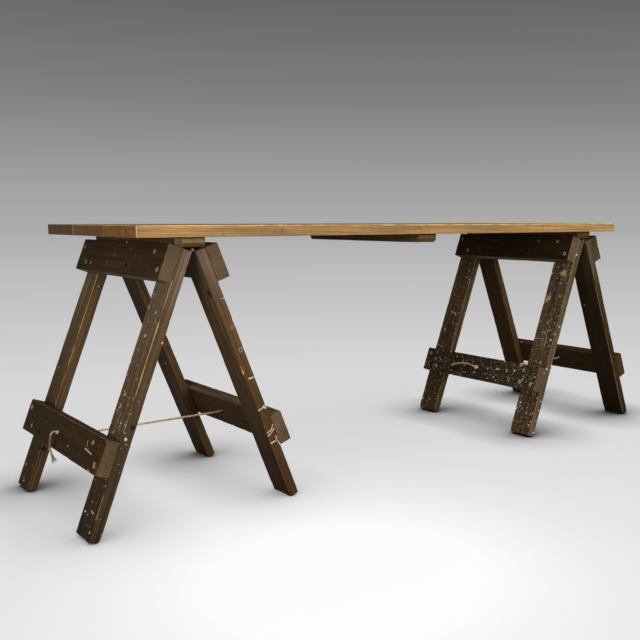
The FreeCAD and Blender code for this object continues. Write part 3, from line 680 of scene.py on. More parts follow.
# Timbers that differ from the others in lines, paleness or the depth of their ends
oddLines = {"left_outer_lower_rail": (0.6, 0.9, 0.3), "left_inner_front_leg": (0.15, 0.45, 0.3)}
sidePales = {"left_outer_lower_rail": 0.15}
endDepths = {"top_board_front": 1.0, "top_board_middle": 0.72, "top_board_back": 0.5}
litEnd = {"start": 0.3, "full": 0.6, "more": 0.22}      # painted light: the front board is made lighter towards its right end, where the lamps reach it less
# a painted dark line of shade along the top of each batten end, as if cast by the boards
battenShadeLine = {"amount": 0.85, "start": 5 * mm, "full": 3.5 * mm}      # a dark line under the boards
# Battens: depth, how pale each end is above its undercut, which is painted light lifting it out of the
# boards' shade, and warmth
battenLooks = {
    "left_batten": {"depth": 0.9, "pale": 0.95, "warm": 0.3},
    "middle_batten": {"depth": 0.5, "pale": 0.1, "warm": 0.3},
    "right_batten": {"depth": 0.5, "pale": 0.1, "warm": 0.3},
}
# Wear of the arrises: usual reach in mm, the length over which it changes, and how much
arrisWear = {"usual": (-2.4, -0.5), "wander": 40 * mm, "least": 0.5, "more": 0.9, "far": 50 * mm}
# Arrises worn more than others: the side of the timber on each of its axes, 0 along the arris, and the reach
# of the wear in mm, all along or in stretches from and to
rubbedArrises = {
    "top_board_front": {(0, -1, 1): 2.2, (-1, -1, 0): 1.5, (-1, 0, 1): 1.4, (-1, 1, 0): 0.8},
    "top_board_middle": {(-1, 0, 1): 1.0},
    "top_board_back": {(-1, -1, 0): 1.8, (-1, 1, 0): 0.6},
    "left_outer_front_leg": {(0, -1, 1): ((-0.29, 0.0, 1.9), (0.0, 0.1, 1.0), (0.25, 0.32, 1.0))},
    "left_outer_back_leg": {(0, -1, 1): ((-0.3, 0.0, 1.7), (0.0, 0.12, 1.0))},
    "left_outer_top_rail": {(-1, 0, 1): 0.2},
    "left_outer_lower_rail": {(0, -1, 1): 0.5},
    "left_inner_front_leg": {(0, -1, -1): ((-0.05, -0.02, 0.9),)},
    "right_inner_front_leg": {(0, -1, 1): 0.9},
    "right_inner_back_leg": {(0, -1, 1): 1.0},
    "right_inner_top_rail": {(-1, 0, 1): 0.9},
    "right_outer_front_leg": {(0, -1, -1): 0.7},
    "right_outer_back_leg": {(0, -1, -1): 0.7},
}
# Bare or scuffed places: a point in half sizes, its radius in mm, and how bare it is, less being barer
rubbedSpots = {
    "left_outer_lower_rail": (((-1.0, 1.0, 0.4), 26, 1.2), ((-1.0, -0.1, 0.5), 40, 1.9)),
    "right_inner_front_leg": (
        ((-0.65, -0.35, 1.0), 10, -3.0), ((-0.63, -0.15, 1.0), 8, -3.0), ((-0.62, -0.5, 1.0), 6, -2.0),
        ((-0.37, 0.6, 1.0), 10, -3.0), ((-0.35, 0.75, 1.0), 9, -3.0), ((-0.39, 0.5, 1.0), 6, -2.0),
        ((-0.8, -0.3, 1.0), 5, -2.0)),
    "right_inner_lower_rail": (((-0.72, -1.0, 0.9), 9, -2.0),),
}
# Patches of dry paint on the outer faces: place and reach along and across in metres, then amount
smearPatches = {
    "left_outer_front_leg": ((0.08, -0.005, 0.05, 0.024, 0.42), (-0.17, 0.01, 0.05, 0.02, 0.25)),
    "right_inner_front_leg": ((0.02, 0.0, 0.07, 0.035, 0.42), (-0.27, -0.02, 0.04, 0.02, 0.35)),
    "right_inner_lower_rail": ((-0.17, 0.0, 0.05, 0.03, 0.3), (0.2, 0.0, 0.05, 0.03, 0.3)),
}
# Where drops of paint lie closest: middle and reach along the timber, and how much closer
splashPatches = {
    "left_outer_front_leg": ((0.06, 0.12, 0.3),),
    "right_inner_front_leg": ((-0.01, 0.06, 0.4), (-0.27, 0.05, 0.3), (0.3, 0.08, 0.25)),
}
# Knots seen in the photograph: along the grain, across and through in half sizes, and radius
seenKnots = {
    "top_board_front": ((-0.519, -1, -0.1, 5 * mm), (-0.045, -1, 0.35, 4.5 * mm), (0.515, -1, 0.0, 3 * mm),
                        (0.745, -1, 0.1, 3 * mm), (-0.69, -1, -0.6, 2.5 * mm)),
    "left_inner_front_leg": ((-0.254, -0.6, -1, 8 * mm),),
    "left_outer_back_leg": ((0.248, -1, 0.3, 5 * mm),),
    "left_outer_front_leg": ((0.084, -1, -0.34, 5 * mm),),
}


def arrisGaps(node, local, half, seed):
    # distance from the nearest arris, less where it is rubbed
    rng = np.random.default_rng(seed + 500)
    rubs = rubbedArrises.get(node, {})
    nearest = np.full(len(local), arrisWear["far"])
    arrises = [side for side in np.ndindex(3, 3, 3) if side.count(1) == 1]
    for number, side in enumerate(arrises):
        side = tuple(k - 1 for k in side)
        axis = side.index(0)
        usual = rng.uniform(*arrisWear["usual"])
        rub = rubs.get(side, usual)
        reach = np.full(len(local), usual)
        for start, stop, more in rub if isinstance(rub, tuple) else ((-math.inf, math.inf, rub),):
            reach = np.where((local[:, axis] > start) & (local[:, axis] < stop), more, reach)
        square = [np.maximum(half[k] - side[k] * local[:, k], 0) for k in range(3) if k != axis]
        along = local[:, axis] / arrisWear["wander"]
        wander = latticeNoise(along, along * 0 + number + 0.5, seed + 7)
        uneven = arrisWear["least"] + arrisWear["more"] * smoothStep(0.2, 0.7, wander)
        worn = np.where(reach > 0, uneven, 1.0)
        nearest = np.minimum(nearest, np.hypot(*square) - reach * mm * worn)
    for spot, radius, bareness in rubbedSpots.get(node, ()):
        far = np.linalg.norm(local - np.array(spot) * half, axis=1) - radius * mm
        nearest = np.minimum(nearest, np.maximum(far, bareness * mm))
    return nearest


# Other knots: their number in a board, the most in another timber, the share of the timber they lie in,
# radius in mm, and length, reach and the distance of none in radii
knotHabit = {
    "inBoard": 6, "inTimber": 2, "along": 0.9, "across": 0.8, "radius": (4, 9),
    "length": 1.15, "reach": 4.5, "none": 9.0,
}


def knotOffsets(node, local, half, pith, tilt, cross, rng):
    # knots run outwards from the pith
    knots = [(a, b * half[1], c * half[2], r) for a, b, c, r in seenKnots.get(node, ())]
    count = 0
    if node.startswith("top_board"):
        count = knotHabit["inBoard"]
    elif node not in seenKnots:
        count = rng.integers(0, knotHabit["inTimber"] + 1)
    along, across = knotHabit["along"], knotHabit["across"]
    for _ in range(count):
        knots.append((rng.uniform(-along, along) * half[0], rng.uniform(-across, across) * half[1],
                      -np.sign(pith[1]) * half[2], rng.uniform(*knotHabit["radius"]) * mm))
    offset = np.tile((0.0, 0.0, knotHabit["none"]), (len(local), 1))
    u = local[:, 0]
    for a, b, c, r in knots:
        way = np.array((b - pith[0] - tilt[0] * a, c - pith[1] - tilt[1] * a))
        way /= np.linalg.norm(way)
        sideways = cross[:, 0] * way[1] - cross[:, 1] * way[0]
        aside = np.stack([(u - a) / r / knotHabit["length"], sideways / r, u * 0], axis=1)
        near = (np.hypot(aside[:, 0], aside[:, 1]) < knotHabit["reach"]) & (cross @ way > 0)
        offset[near] = aside[near]
    return offset


# The tones of a timber: depth of its stain with light and shade painted in, paleness, partly painted light,
# drops of paint and warmth

def boardTone(node, local, half, closest):
    depth = np.where(closest == 0, endDepths[node], 1.0)
    if node == "top_board_front":
        # painted light: lighter towards the right end of the front board
        lengthwise = local[:, 0] / half[0]
        depth = depth * (1 + litEnd["more"] * smoothStep(litEnd["start"], litEnd["full"], lengthwise))
    return {"depth": depth, "pale": 0.0, "splash": strayDrops, "warm": 0.0}


def battenTone(node, local, half, closest):
    # the ends are pale above their undercut, which is painted light, and a painted dark line of
    # shade runs along their top under the boards
    u, v, w = local.T
    look = battenLooks[node]
    # painted shade: the top few mm of each end darken as if in the boards' shadow, and clean is the share
    # left unshaded
    shadeLine = smoothStep(half[2] - battenShadeLine["start"], half[2] - battenShadeLine["full"], w)
    clean = 1 - battenShadeLine["amount"] * shadeLine
    # painted light: the upright part of each end above the undercut is paler, as if lit
    cutEdge = undercut["rise"] - half[2]
    pale = (closest == 0) * smoothStep(cutEdge - undercut["rim"], cutEdge, w) * look["pale"]
    # painted light: the clipped facet is made paler as if it caught the light
    if node == "left_batten":
        clipped = (u < clippedCorner["long"] - half[0]) & (v < clippedCorner["wide"] - half[1])
        pale = np.maximum(pale, clippedCorner["pale"] * clipped)
    return {"depth": look["depth"] * clean, "pale": pale * clean, "splash": strayDrops, "warm": look["warm"]}


def frameTone(node, local, half, closest):
    name = frameName(node)
    part = frameParts.index(node[len(name) + 1:])
    look = {key: values[part] for key, values in frameLooks[name].items()}
    end, narrow, broad = (closest == k for k in range(3))
    outer = broad & (local[:, 2] > 0)
    u = local[:, 0]
    lengthwise = u / half[0]
    # painted light and shade, partly the timber's own tone: lighter towards the upper end, under the table's
    # shade, and darker towards the foot
    shadeAndToneGraded = np.maximum(1 - look["shadeAndToneGrade"] * lengthwise, dimmest)
    # pale upper ends: partly the timber's own weathered tone, partly painted light that lifts them out of the
    # table's shade
    paleAndLitCrown = look["paleAndLitCrown"] * (1 - smoothStep(*paleAndLitCrownReach, lengthwise))
    film = np.where(outer, look["film"] * np.clip(filmEnd - lengthwise, 0, 1), 0.0)
    # the paleness of the sides and ends is partly wear and partly painted light
    sidePale = np.where(end, look["pale"], sidePales.get(node, look["pale"])) + paleAndLitCrown
    splash = look["splash"]
    for middle, reach, more in splashPatches.get(node, ()):
        splash = splash + more * np.exp(-((u - middle) / reach) ** 2)
    return {
        # painted light and shade: the narrow sides are made lighter or darker than the broad faces, by how
        # light falls on them
        "depth": look["depth"] * shadeAndToneGraded * np.where(narrow, look["side"], 1.0),
        "pale": np.where(broad, broadShares["paleAndLitCrown"] * paleAndLitCrown + film, sidePale),
        "splash": np.where(outer, splash, splash * innerSplash),
        "warm": np.where(broad, look["warm"] * broadShares["warm"], look["warm"]),
    }


tones = {"board": boardTone, "batten": battenTone, "frame": frameTone}
# The pith lies outside the piece, a little askew: its place in half sizes, and its tilt. Each timber takes
# another stretch of the grain
pithHabit = {"aside": 0.5, "outside": (1.4, 3.0), "leastHalf": 20 * mm, "tilt": 0.02, "stretch": 3.7}


def markTimber(piece, node, centre, half, axes, seed):
    rng = np.random.default_rng(seed)
    local = (vertexArray(piece) - centre) @ axes.T
    u, v, w = local.T
    aside, lean = pithHabit["aside"], pithHabit["tilt"]
    thickness = max(half[2], pithHabit["leastHalf"])
    pith = np.array((rng.uniform(-aside, aside) * half[1],
                     rng.choice((-1, 1)) * rng.uniform(*pithHabit["outside"]) * thickness))
    tilt = rng.uniform(-lean, lean, 2)
    cross = np.stack([v - pith[0] - tilt[0] * u, w - pith[1] - tilt[1] * u], axis=1)
    closest = (half - np.abs(local)).argmin(axis=1)
    smear = np.zeros(len(local))
    for a, b, alongReach, acrossReach, amount in smearPatches.get(node, ()):
        smear += (w > 0) * amount * np.exp(-((u - a) / alongReach) ** 2 - ((v - b) / acrossReach) ** 2)
    kind = "batten" if node in battenLooks else "board" if node in endDepths else "frame"
    tone = tones[kind](node, local, half, closest)
    tone = {key: np.broadcast_to(value, len(local)) for key, value in tone.items()}
    lines = np.array(oddLines.get(node, grainShows[kind]["lines"]))[closest]
    streaks = np.array(grainShows[kind]["streaks"])[closest]
    setVectors(piece, "grain", np.column_stack([u + pithHabit["stretch"] * seed, cross]))
    setVectors(piece, "knots", knotOffsets(node, local, half, pith, tilt, cross, rng))
    gaps = arrisGaps(node, local, half, seed)
    setVectors(piece, "marks", np.column_stack([gaps, closest == 0, tone["warm"]]))
    setVectors(piece, "tones", np.column_stack([tone["pale"], tone["splash"], smear]))
    setVectors(piece, "stain", np.column_stack([tone["depth"], lines, streaks]))


def makeTimber(node, body, material, slot, seed):
    axes = timberAxes(node)
    reach = vertexArray(nodes[node]) @ axes.T
    low, high = reach.min(axis=0), reach.max(axis=0)
    half = (high - low) / 2
    centre = (high + low) / 2 @ axes
    points, faces = timberShape(node, half, seed)
    points = points @ axes + centre
    points[:, 2] = np.maximum(points[:, 2], 0)          # feet are worn level with the floor
    piece = newPiece(node + "_timber", points, faces, material)
    faceOutwards(piece)
    cuts = timberCuts(node, centre, half, axes)
    if len(cuts.faces):
        cutWith(piece, cuts)
    cuts.free()
    markTimber(piece, node, centre, half, axes, seed)
    piece.data.shade_smooth()
    piece.data.set_sharp_from_angle(angle=timberLook["sharp"])
    fitPiece(piece, body, slot, node)
    return piece


timbers = {}
for step, part in enumerate(("front", "middle", "back")):
    timbers["top_board_" + part] = ("table_top", honeyPine, "honey_pine", 11 + step)
for step, part in enumerate(("left", "middle", "right")):
    timbers[part + "_batten"] = ("table_top", rawPine, "batten_pine", 21 + step)
for step, name in enumerate(sides):
    for turn, part in enumerate(frameParts):
        timbers[f"{name}_{part}"] = (name + "_frame", stainedPine, "stained_pine", 31 + 4 * step + turn)
pieces = {node: makeTimber(node, *facts) for node, facts in timbers.items()}
print("timbers made:", len(pieces), "with", sum(len(p.data.polygons) for p in pieces.values()), "faces")


# Lines and tubes

def splineLine(name, route):
    # points read from a smooth spline that has the route as its control points
    curve = bpy.data.curves.new(name + "_line", "CURVE")
    curve.dimensions = "3D"
    curve.resolution_u = 16
    spline = curve.splines.new("NURBS")
    spline.points.add(len(route) - 1)
    for point, spot in zip(spline.points, route):
        point.co = (*spot, 1.0)
    spline.order_u = 3
    spline.use_endpoint_u = True
    holder = bpy.data.objects.new(name + "_line", curve)
    mesh = bpy.data.meshes.new_from_object(holder)
    line = np.array([v.co for v in mesh.vertices], float)
    bpy.data.meshes.remove(mesh)
    bpy.data.objects.remove(holder)
    bpy.data.curves.remove(curve)
    return line


def evenly(line, step):
    along = np.concatenate([[0], np.cumsum(np.linalg.norm(np.diff(line, axis=0), axis=1))])
    at = np.linspace(0, along[-1], math.ceil(along[-1] / step) + 1)
    return np.stack([np.interp(at, along, line[:, k]) for k in range(3)], axis=1), at


def carriedFrame(line):
    # two directions square to the line, carried along it without twist
    tangent = np.gradient(line, axis=0)
    tangent /= np.linalg.norm(tangent, axis=1)[:, None]
    first = np.cross(tangent[0], (0, 0, 1) if abs(tangent[0][2]) < 0.9 else (1, 0, 0))
    normals = [first / np.linalg.norm(first)]
    for direction in tangent[1:]:
        carried = normals[-1] - direction * (normals[-1] @ direction)
        normals.append(carried / np.linalg.norm(carried))
    normals = np.array(normals)
    return tangent, normals, np.cross(tangent, normals)


def sweptTube(line, radius, around, closed=False):
    # vertices and faces of a round tube along the line
    _, normal, aside = carriedFrame(line)
    radius = np.broadcast_to(radius, len(line))
    turn = np.linspace(0, 2 * math.pi, around, endpoint=False)
    ring = np.cos(turn)[None, :, None] * normal[:, None] + np.sin(turn)[None, :, None] * aside[:, None]
    vertices = (line[:, None] + ring * radius[:, None, None]).reshape(-1, 3)
    count = len(line)
    faces = []
    for i in range(count if closed else count - 1):
        a, b = i * around, (i + 1) % count * around
        faces += [(a + j, a + (j + 1) % around, b + (j + 1) % around, b + j) for j in range(around)]
    if not closed:
        faces += [tuple(range(around - 1, -1, -1)), tuple(range((count - 1) * around, count * around))]
    return vertices, faces


def joinedShells(shells):
    # several shells of vertices and faces as one
    vertices, faces = [], []
    for points, rings in shells:
        start = sum(len(v) for v in vertices)
        faces += [tuple(i + start for i in ring) for ring in rings]
        vertices.append(points)
    return np.concatenate(vertices), faces


# Metals, filler and old paint: one tone where clean, one where dull and one in rough patches

def patchyFinish(name, look):
    return newFinish(name, [
        ("TexCoord", "place"),
        ("TexNoise", "patch", {
            "Vector": "place:Object", "Scale": 1 / look["patchSize"], "Detail": 4.0, "Roughness": 0.6}),
        ("TexNoise", "pit", {
            "Vector": "place:Object", "Scale": 1 / look["pitSize"], "Detail": 3.0, "Roughness": 0.6}),
        ("ValToRGB", "tone", {"Fac": "patch"}, (
            (0.36, look["clean"]), (0.52, look["dull"]), (0.66, look["rough"]))),
        ("MapRange", "pitShade", {"Value": "pit", **midRange, "To Min": 0.75, "To Max": 1.15}),
        ("Mix", {"name": "toned", **times}, {0: 1.0, 6: "tone", 7: "pitShade"}),
        ("MapRange", "metal", {
            "Value": "patch", "From Min": 0.45, "From Max": 0.62, "To Min": look["metallic"], "To Max": 0.0}),
        ("MapRange", "rough", {
            "Value": "patch", "From Min": 0.35, "From Max": 0.65,
            "To Min": look["roughness"], "To Max": 0.92}),
        ("Bump", "bump", {"Height": "pit", "Strength": 0.5, "Distance": look["relief"]}),
    ], {"Base Color": "toned", "Metallic": "metal", "Roughness": "rough", "Normal": "bump",
        "Specular IOR Level": 0.25})


# Hinge leaves of wrought iron, browned by rust
ironLook = {"clean": "#4B433B", "dull": "#3A2E25", "rough": "#5E3D22", "metallic": 0.6, "roughness": 0.55,
            "patchSize": 9 * mm, "pitSize": 1.2 * mm, "relief": 0.2 * mm}
# Hinge pins of drawn steel, dulled grey
pinLook = {"clean": "#8E8570", "dull": "#7E7664", "rough": "#5E503E", "metallic": 0.5, "roughness": 0.6,
           "patchSize": 7 * mm, "pitSize": 0.8 * mm, "relief": 0.1 * mm}
# Slotted screws of plain steel, gone brown
screwLook = {"clean": "#6C645A", "dull": "#4C4238", "rough": "#5C4129", "metallic": 0.7, "roughness": 0.5,
             "patchSize": 4 * mm, "pitSize": 0.7 * mm, "relief": 0.1 * mm}
# Wood filler pressed over the screws, dried to a chalky beige
fillerLook = {"clean": "#B3A284", "dull": "#A08F70", "rough": "#7E6E52", "metallic": 0.0, "roughness": 0.85,
              "patchSize": 7 * mm, "pitSize": 1.1 * mm, "relief": 0.3 * mm}
# Runs of cream oil paint
paintLook = {"clean": "#E0D6BC", "dull": "#CDC1A2", "rough": "#A69776", "metallic": 0.0, "roughness": 0.6,
             "patchSize": 8 * mm, "pitSize": 1.4 * mm, "relief": 0.2 * mm}
hingeIron = patchyFinish("rustedIron", ironLook)
pinSteel = patchyFinish("dulledSteel", pinLook)
screwSteel = patchyFinish("brownedSteel", screwLook)
driedFiller = patchyFinish("woodFiller", fillerLook)
creamPaint = patchyFinish("creamPaint", paintLook)


# Hinges: the leaves and pins of the frame with their sharp edges eased

hingeLook = {"merge": 0.001 * mm, "flat": math.radians(4), "sharp": math.radians(35), "ease": 0.35 * mm}


def easedCopy(node, material, look):
    shell = bmesh.new()
    shell.from_mesh(nodes[node].data)
    shell.transform(nodes[node].matrix_world)
    bmesh.ops.remove_doubles(shell, verts=shell.verts, dist=look["merge"])
    bmesh.ops.dissolve_limit(shell, angle_limit=look["flat"], verts=shell.verts, edges=shell.edges)
    hard = [e for e in shell.edges if e.is_manifold and e.calc_face_angle(0) > look["sharp"]]
    bmesh.ops.bevel(shell, geom=hard, offset=look["ease"], segments=2, profile=0.5,
                    affect="EDGES", clamp_overlap=True)
    bmesh.ops.recalc_face_normals(shell, faces=shell.faces)
    piece = newPiece(node + "_eased", [], [], material)
    shell.to_mesh(piece.data)
    shell.free()
    piece.data.shade_smooth()
    piece.data.set_sharp_from_angle(angle=look["sharp"])
    return piece


for side in ("left", "right"):
    for place in ("front", "back"):
        for leaf in ("outer", "inner"):
            node = f"{side}_{place}_hinge_{leaf}_leaf"
            fitPiece(easedCopy(node, hingeIron, hingeLook), f"{side}_{leaf}_frame", "hinge_iron", node)
        node = f"{side}_{place}_hinge_pin"
        fitPiece(easedCopy(node, pinSteel, hingeLook), side + "_outer_frame", "pin_steel", node)
print("hinges eased")


# Screws and filler: Geometry Nodes trees that set one shape at each point, turned to face outwards

def newTree(name, inputs, rows, result):
    tree = bpy.data.node_groups.new(name, "GeometryNodeTree")
    for key, kind in {"Geometry": "Geometry", **inputs}.items():
        tree.interface.new_socket(key, in_out="INPUT", socket_type="NodeSocket" + kind)
    tree.interface.new_socket("Geometry", in_out="OUTPUT", socket_type="NodeSocketGeometry")
    tree.nodes.new("NodeGroupInput").name = "given"
    for kind, *rest in rows:
        addNode(tree, kind, *rest)
    feed(tree, tree.nodes.new("NodeGroupOutput"), {"Geometry": result})
    return tree


# each shape stands along the "facing" of its point, turned about it by chance
facingRows = [
    ("GeometryNodeInputNamedAttribute", {"name": "facing", "data_type": "FLOAT_VECTOR"}, {"Name": "=facing"}),
    ("FunctionNodeAlignRotationToVector", {"name": "upright", "axis": "Z"}, {"Vector": "facing:Attribute"}),
    ("FunctionNodeRandomValue", {"name": "angle", "data_type": "FLOAT"}, {
        2: 0.0, 3: math.pi, "Seed": "given:Seed"}),
    ("FunctionNodeAxisAngleToRotation", "spin", {"Axis": (0, 0, 1), "Angle": "angle"}),
    ("FunctionNodeRotateRotation", {"name": "turned", "rotation_space": "LOCAL"}, {
        "Rotation": "upright", "Rotate By": "spin"}),
]
screwTree = newTree("slottedScrew", {
    "Head Diameter": "Float", "Shank Diameter": "Float", "Length": "Float",
    "Seed": "Int", "Material": "Material",
}, facingRows + [
    # the flat of the head lies at the point, the shank below it
    ("ShaderNodeMath.MULTIPLY", "headRadius", {0: "given:Head Diameter", 1: 0.5}),
    ("ShaderNodeMath.MULTIPLY", "shankRadius", {0: "given:Shank Diameter", 1: 0.5}),
    ("ShaderNodeMath.SUBTRACT", "headDepth", {0: "headRadius", 1: "shankRadius"}),
    ("ShaderNodeMath.MULTIPLY", "headDrop", {0: "headDepth", 1: -1.0}),
    ("ShaderNodeCombineXYZ", "headPlace", {"Z": "headDrop"}),
    ("GeometryNodeMeshCone", "head", {
        "Vertices": 28, "Radius Top": "headRadius", "Radius Bottom": "shankRadius", "Depth": "headDepth"}),
    ("GeometryNodeTransform", "headSet", {"Geometry": "head", "Translation": "headPlace"}),
    # the slot is a seventh of the head wide
    ("ShaderNodeMath.DIVIDE", "slotWidth", {0: "given:Head Diameter", 1: 7.0}),
    ("ShaderNodeMath.MULTIPLY", "slotLong", {0: "given:Head Diameter", 1: 1.2}),
    ("ShaderNodeCombineXYZ", "slotSize", {"X": "slotLong", "Y": "slotWidth", "Z": "headDepth"}),
    ("GeometryNodeMeshCube", "slot", {"Size": "slotSize"}),
    ("GeometryNodeMeshBoolean.DIFFERENCE", "slotted", {"Mesh 1": "headSet", "Mesh 2": "slot"}),
    # the shank tapers to its tip
    ("ShaderNodeMath.MULTIPLY", "tipRadius", {0: "shankRadius", 1: 0.25}),
    ("ShaderNodeMath.SUBTRACT", "shankLength", {0: "given:Length", 1: "headDepth"}),
    ("ShaderNodeMath.MULTIPLY", "shankDrop", {0: "given:Length", 1: -1.0}),
    ("ShaderNodeCombineXYZ", "shankPlace", {"Z": "shankDrop"}),
    ("GeometryNodeMeshCone", "shank", {
        "Vertices": 16, "Radius Top": "shankRadius", "Radius Bottom": "tipRadius", "Depth": "shankLength"}),
    ("GeometryNodeTransform", "shankSet", {"Geometry": "shank", "Translation": "shankPlace"}),
    ("GeometryNodeJoinGeometry", "screw", {"Geometry": ["slotted:Mesh", "shankSet"]}),
    ("GeometryNodeInstanceOnPoints", "screws", {
        "Points": "given:Geometry", "Instance": "screw", "Rotation": "turned"}),
    ("GeometryNodeRealizeInstances", "real", {"Geometry": "screws"}),
    ("GeometryNodeSetMaterial", "finished", {"Geometry": "real", "Material": "given:Material"}),
], "finished")
dabTree = newTree("fillerDab", {
    "Diameter": "Float", "Thickness": "Float", "Unevenness": "Float", "Seed": "Int", "Material": "Material",
}, facingRows + [
    ("GeometryNodeMeshUVSphere", "ball", {"Segments": 40, "Rings": 16, "Radius": 0.5}),
    ("ShaderNodeCombineXYZ", "dabSize", {
        "X": "given:Diameter", "Y": "given:Diameter", "Z": "given:Thickness"}),
    ("FunctionNodeRandomValue", {"name": "stretch", "data_type": "FLOAT_VECTOR"}, {
        0: (0.8, 0.7, 0.8), 1: (1.2, 1.0, 1.2), "Seed": "given:Seed"}),
    ("ShaderNodeVectorMath.MULTIPLY", "shape", {0: "dabSize", 1: "stretch"}),
    ("GeometryNodeInstanceOnPoints", "dabs", {
        "Points": "given:Geometry", "Instance": "ball", "Rotation": "turned", "Scale": "shape"}),
    ("GeometryNodeRealizeInstances", "real", {"Geometry": "dabs"}),
    # uneven rims
    ("ShaderNodeTexNoise", "ripple", {"Scale": 190.0, "Detail": 2.0}),
    ("ShaderNodeVectorMath.SUBTRACT", "swing", {0: "ripple:Color", 1: (0.5, 0.5, 0.5)}),
    ("ShaderNodeVectorMath.SCALE", "shift", {0: "swing", "Scale": "given:Unevenness"}),
    ("GeometryNodeSetPosition", "uneven", {"Geometry": "real", "Offset": "shift"}),
    ("GeometryNodeSetMaterial", "finished", {"Geometry": "uneven", "Material": "given:Material"}),
], "finished")


def grownPiece(name, points, facing, tree, values):
    # one piece with the tree's shape at every point
    piece = newPiece(name, points, [], None)
    setVectors(piece, "facing", np.tile(facing, (len(points), 1)))
    modifier = piece.modifiers.new(tree.name, "NODES")
    modifier.node_group = tree
    for item in tree.interface.items_tree:
        if item.in_out == "INPUT" and item.name in values:
            modifier[item.identifier] = values[item.name]
    bakeModifiers(piece)
    return piece


def screwPiece(name, points, facing, look, seed):
    points = np.array(points) - np.array(facing) * look["Sink"]
    piece = grownPiece(name, points, facing, screwTree, {**look, "Seed": seed, "Material": screwSteel})
    piece.data.shade_smooth()
    piece.data.set_sharp_from_angle(angle=hingeLook["sharp"])
    return piece


for seed, name in enumerate(sides):
    outward = leaning(sides[name])[0]
    screws = screwPiece(name + "_rail_slotted_screws", frameScrews(name), outward, screwLooks["rail"], seed)
    fitPiece(screws, name + "_frame", "screw_steel", name + "_rail_screws")
    screws = screwPiece(name + "_hinge_slotted_screws", hingeScrews(name), -outward, screwLooks["hinge"],
                        seed + 10)
    fitPiece(screws, name + "_frame", "screw_steel", name + "_hinge_screws")
points = [point for x in battenSizes["places"] for point in battenScrews(x)]
screws = screwPiece("batten_slotted_screws", points, (0, 0, -1), screwLooks["batten"], 20)
fitPiece(screws, "table_top", "screw_steel", "batten_screws")
print("screws set")


# Dabs of filler over the screws of the two frames that face the camera, and a few stray ones

dabLook = {"Diameter": 15 * mm, "Thickness": 3.0 * mm, "Unevenness": 5 * mm}
strayDabs = {"left_outer": (), "right_inner": ((-0.227, 0.567),)}
for seed, (name, strays) in enumerate(strayDabs.items()):
    outward = leaning(sides[name])[0]
    points = frameScrews(name) + [framePoint(name, frameSizes["railFace"], *spot) for spot in strays]
    values = {**dabLook, "Seed": 40 + seed, "Material": driedFiller}
    dabs = grownPiece(name + "_filler", points, outward, dabTree, values)
    dabs.data.shade_smooth()
    fitPiece(dabs, name + "_frame", "stained_pine")


# Runs and strokes of paint: for each frame the face they lie on, half their width, and their points in mm,
# out or along and then down the legs

runLook = {
    "flat": 0.3, "step": 1.0 * mm, "around": 10, "taper": 3 * mm, "blunt": 0.2,
    "wander": 6 * mm, "least": 0.65, "swing": 0.7, "seed": 77,
}
paintRuns = {
    "left_inner": (
        ("front", 0.9, ((19.0, 143.6), (25.0, 144.6), (29.5, 144.2))),
        ("front", 0.45, ((15.0, 226.0), (18.0, 220.5), (26.0, 221.0), (26.5, 226.0), (23.0, 230.0),
                         (16.5, 230.0), (15.0, 226.0))),
        ("front", 0.55, ((15.0, 292.0), (18.0, 286.0), (26.0, 286.5), (27.0, 292.0), (23.5, 297.0),
                         (16.0, 297.0), (15.0, 292.0))),
        ("front", 1.4, ((4.3, 343.1), (3.6, 350.0), (4.0, 357.9))),
        ("front", 2.5, ((11.9, 374.2), (22.0, 376.8), (30.6, 377.7))),
        ("front", 2.2, ((4.4, 469.3), (14.0, 469.0), (21.6, 467.6), (30.6, 461.8))),
        ("front", 1.8, ((21.6, 467.6), (26.0, 470.5), (30.6, 475.4))),
        ("front", 1.4, ((29.0, 461.0), (30.2, 468.0), (29.6, 476.0))),
        ("front", 2.0, ((4.1, 538.8), (16.1, 540.6), (25.0, 534.6), (30.6, 524.3))),
        ("front", 1.9, ((4.7, 548.8), (16.5, 549.5), (30.6, 537.0))),
        ("front", 2.0, ((4.3, 572.2), (17.8, 573.1), (26.7, 573.8), (26.8, 558.4))),
        ("front", 1.7, ((26.7, 573.8), (28.4, 582.0), (29.7, 591.0))),
    ),
    "left_outer": (
        ("rail", 1.2, ((-198.2, 523.6), (-199.0, 532.0), (-201.0, 540.0))),
        ("rail", 1.8, ((-193.1, 546.0), (-215.0, 547.5), (-245.9, 550.2))),
        ("rail", 1.4, ((-248.9, 586.0), (-260.0, 589.6), (-272.3, 590.4))),
        ("rail", 1.5, ((66.0, 66.0), (68.0, 71.0))),
    ),
}


def paintRun(name, number, face, radius, run, look):
    if face == "front":
        normal = np.array((0, -1, 0))
        spots = [framePoint(name, a * mm, frameSizes["legFront"], b * mm) for a, b in run]
    else:
        normal = leaning(sides[name])[0]
        spots = [framePoint(name, frameSizes["railFace"], a * mm, b * mm) for a, b in run]
    line, at = evenly(splineLine("paint_run", spots), look["step"])
    wander = latticeNoise(at / look["wander"], at * 0 + number + 0.5, look["seed"])
    width = radius * mm * (look["least"] + look["swing"] * wander)
    ends = np.sin(np.clip(np.minimum(at, at[-1] - at) / look["taper"], look["blunt"], 1) * math.pi / 2)
    points, faces = sweptTube(line, width * ends, look["around"])
    proud = (points - spots[0]) @ normal
    return points - np.outer(proud * (1 - look["flat"]), normal), faces


for name, rows in paintRuns.items():
    shells = [paintRun(name, number, *row, runLook) for number, row in enumerate(rows)]
    runs = newPiece(name + "_paint_runs", *joinedShells(shells), creamPaint)
    faceOutwards(runs)
    runs.data.shade_smooth()
    fitPiece(runs, name + "_frame", "stained_pine")
print("filler and paint set")


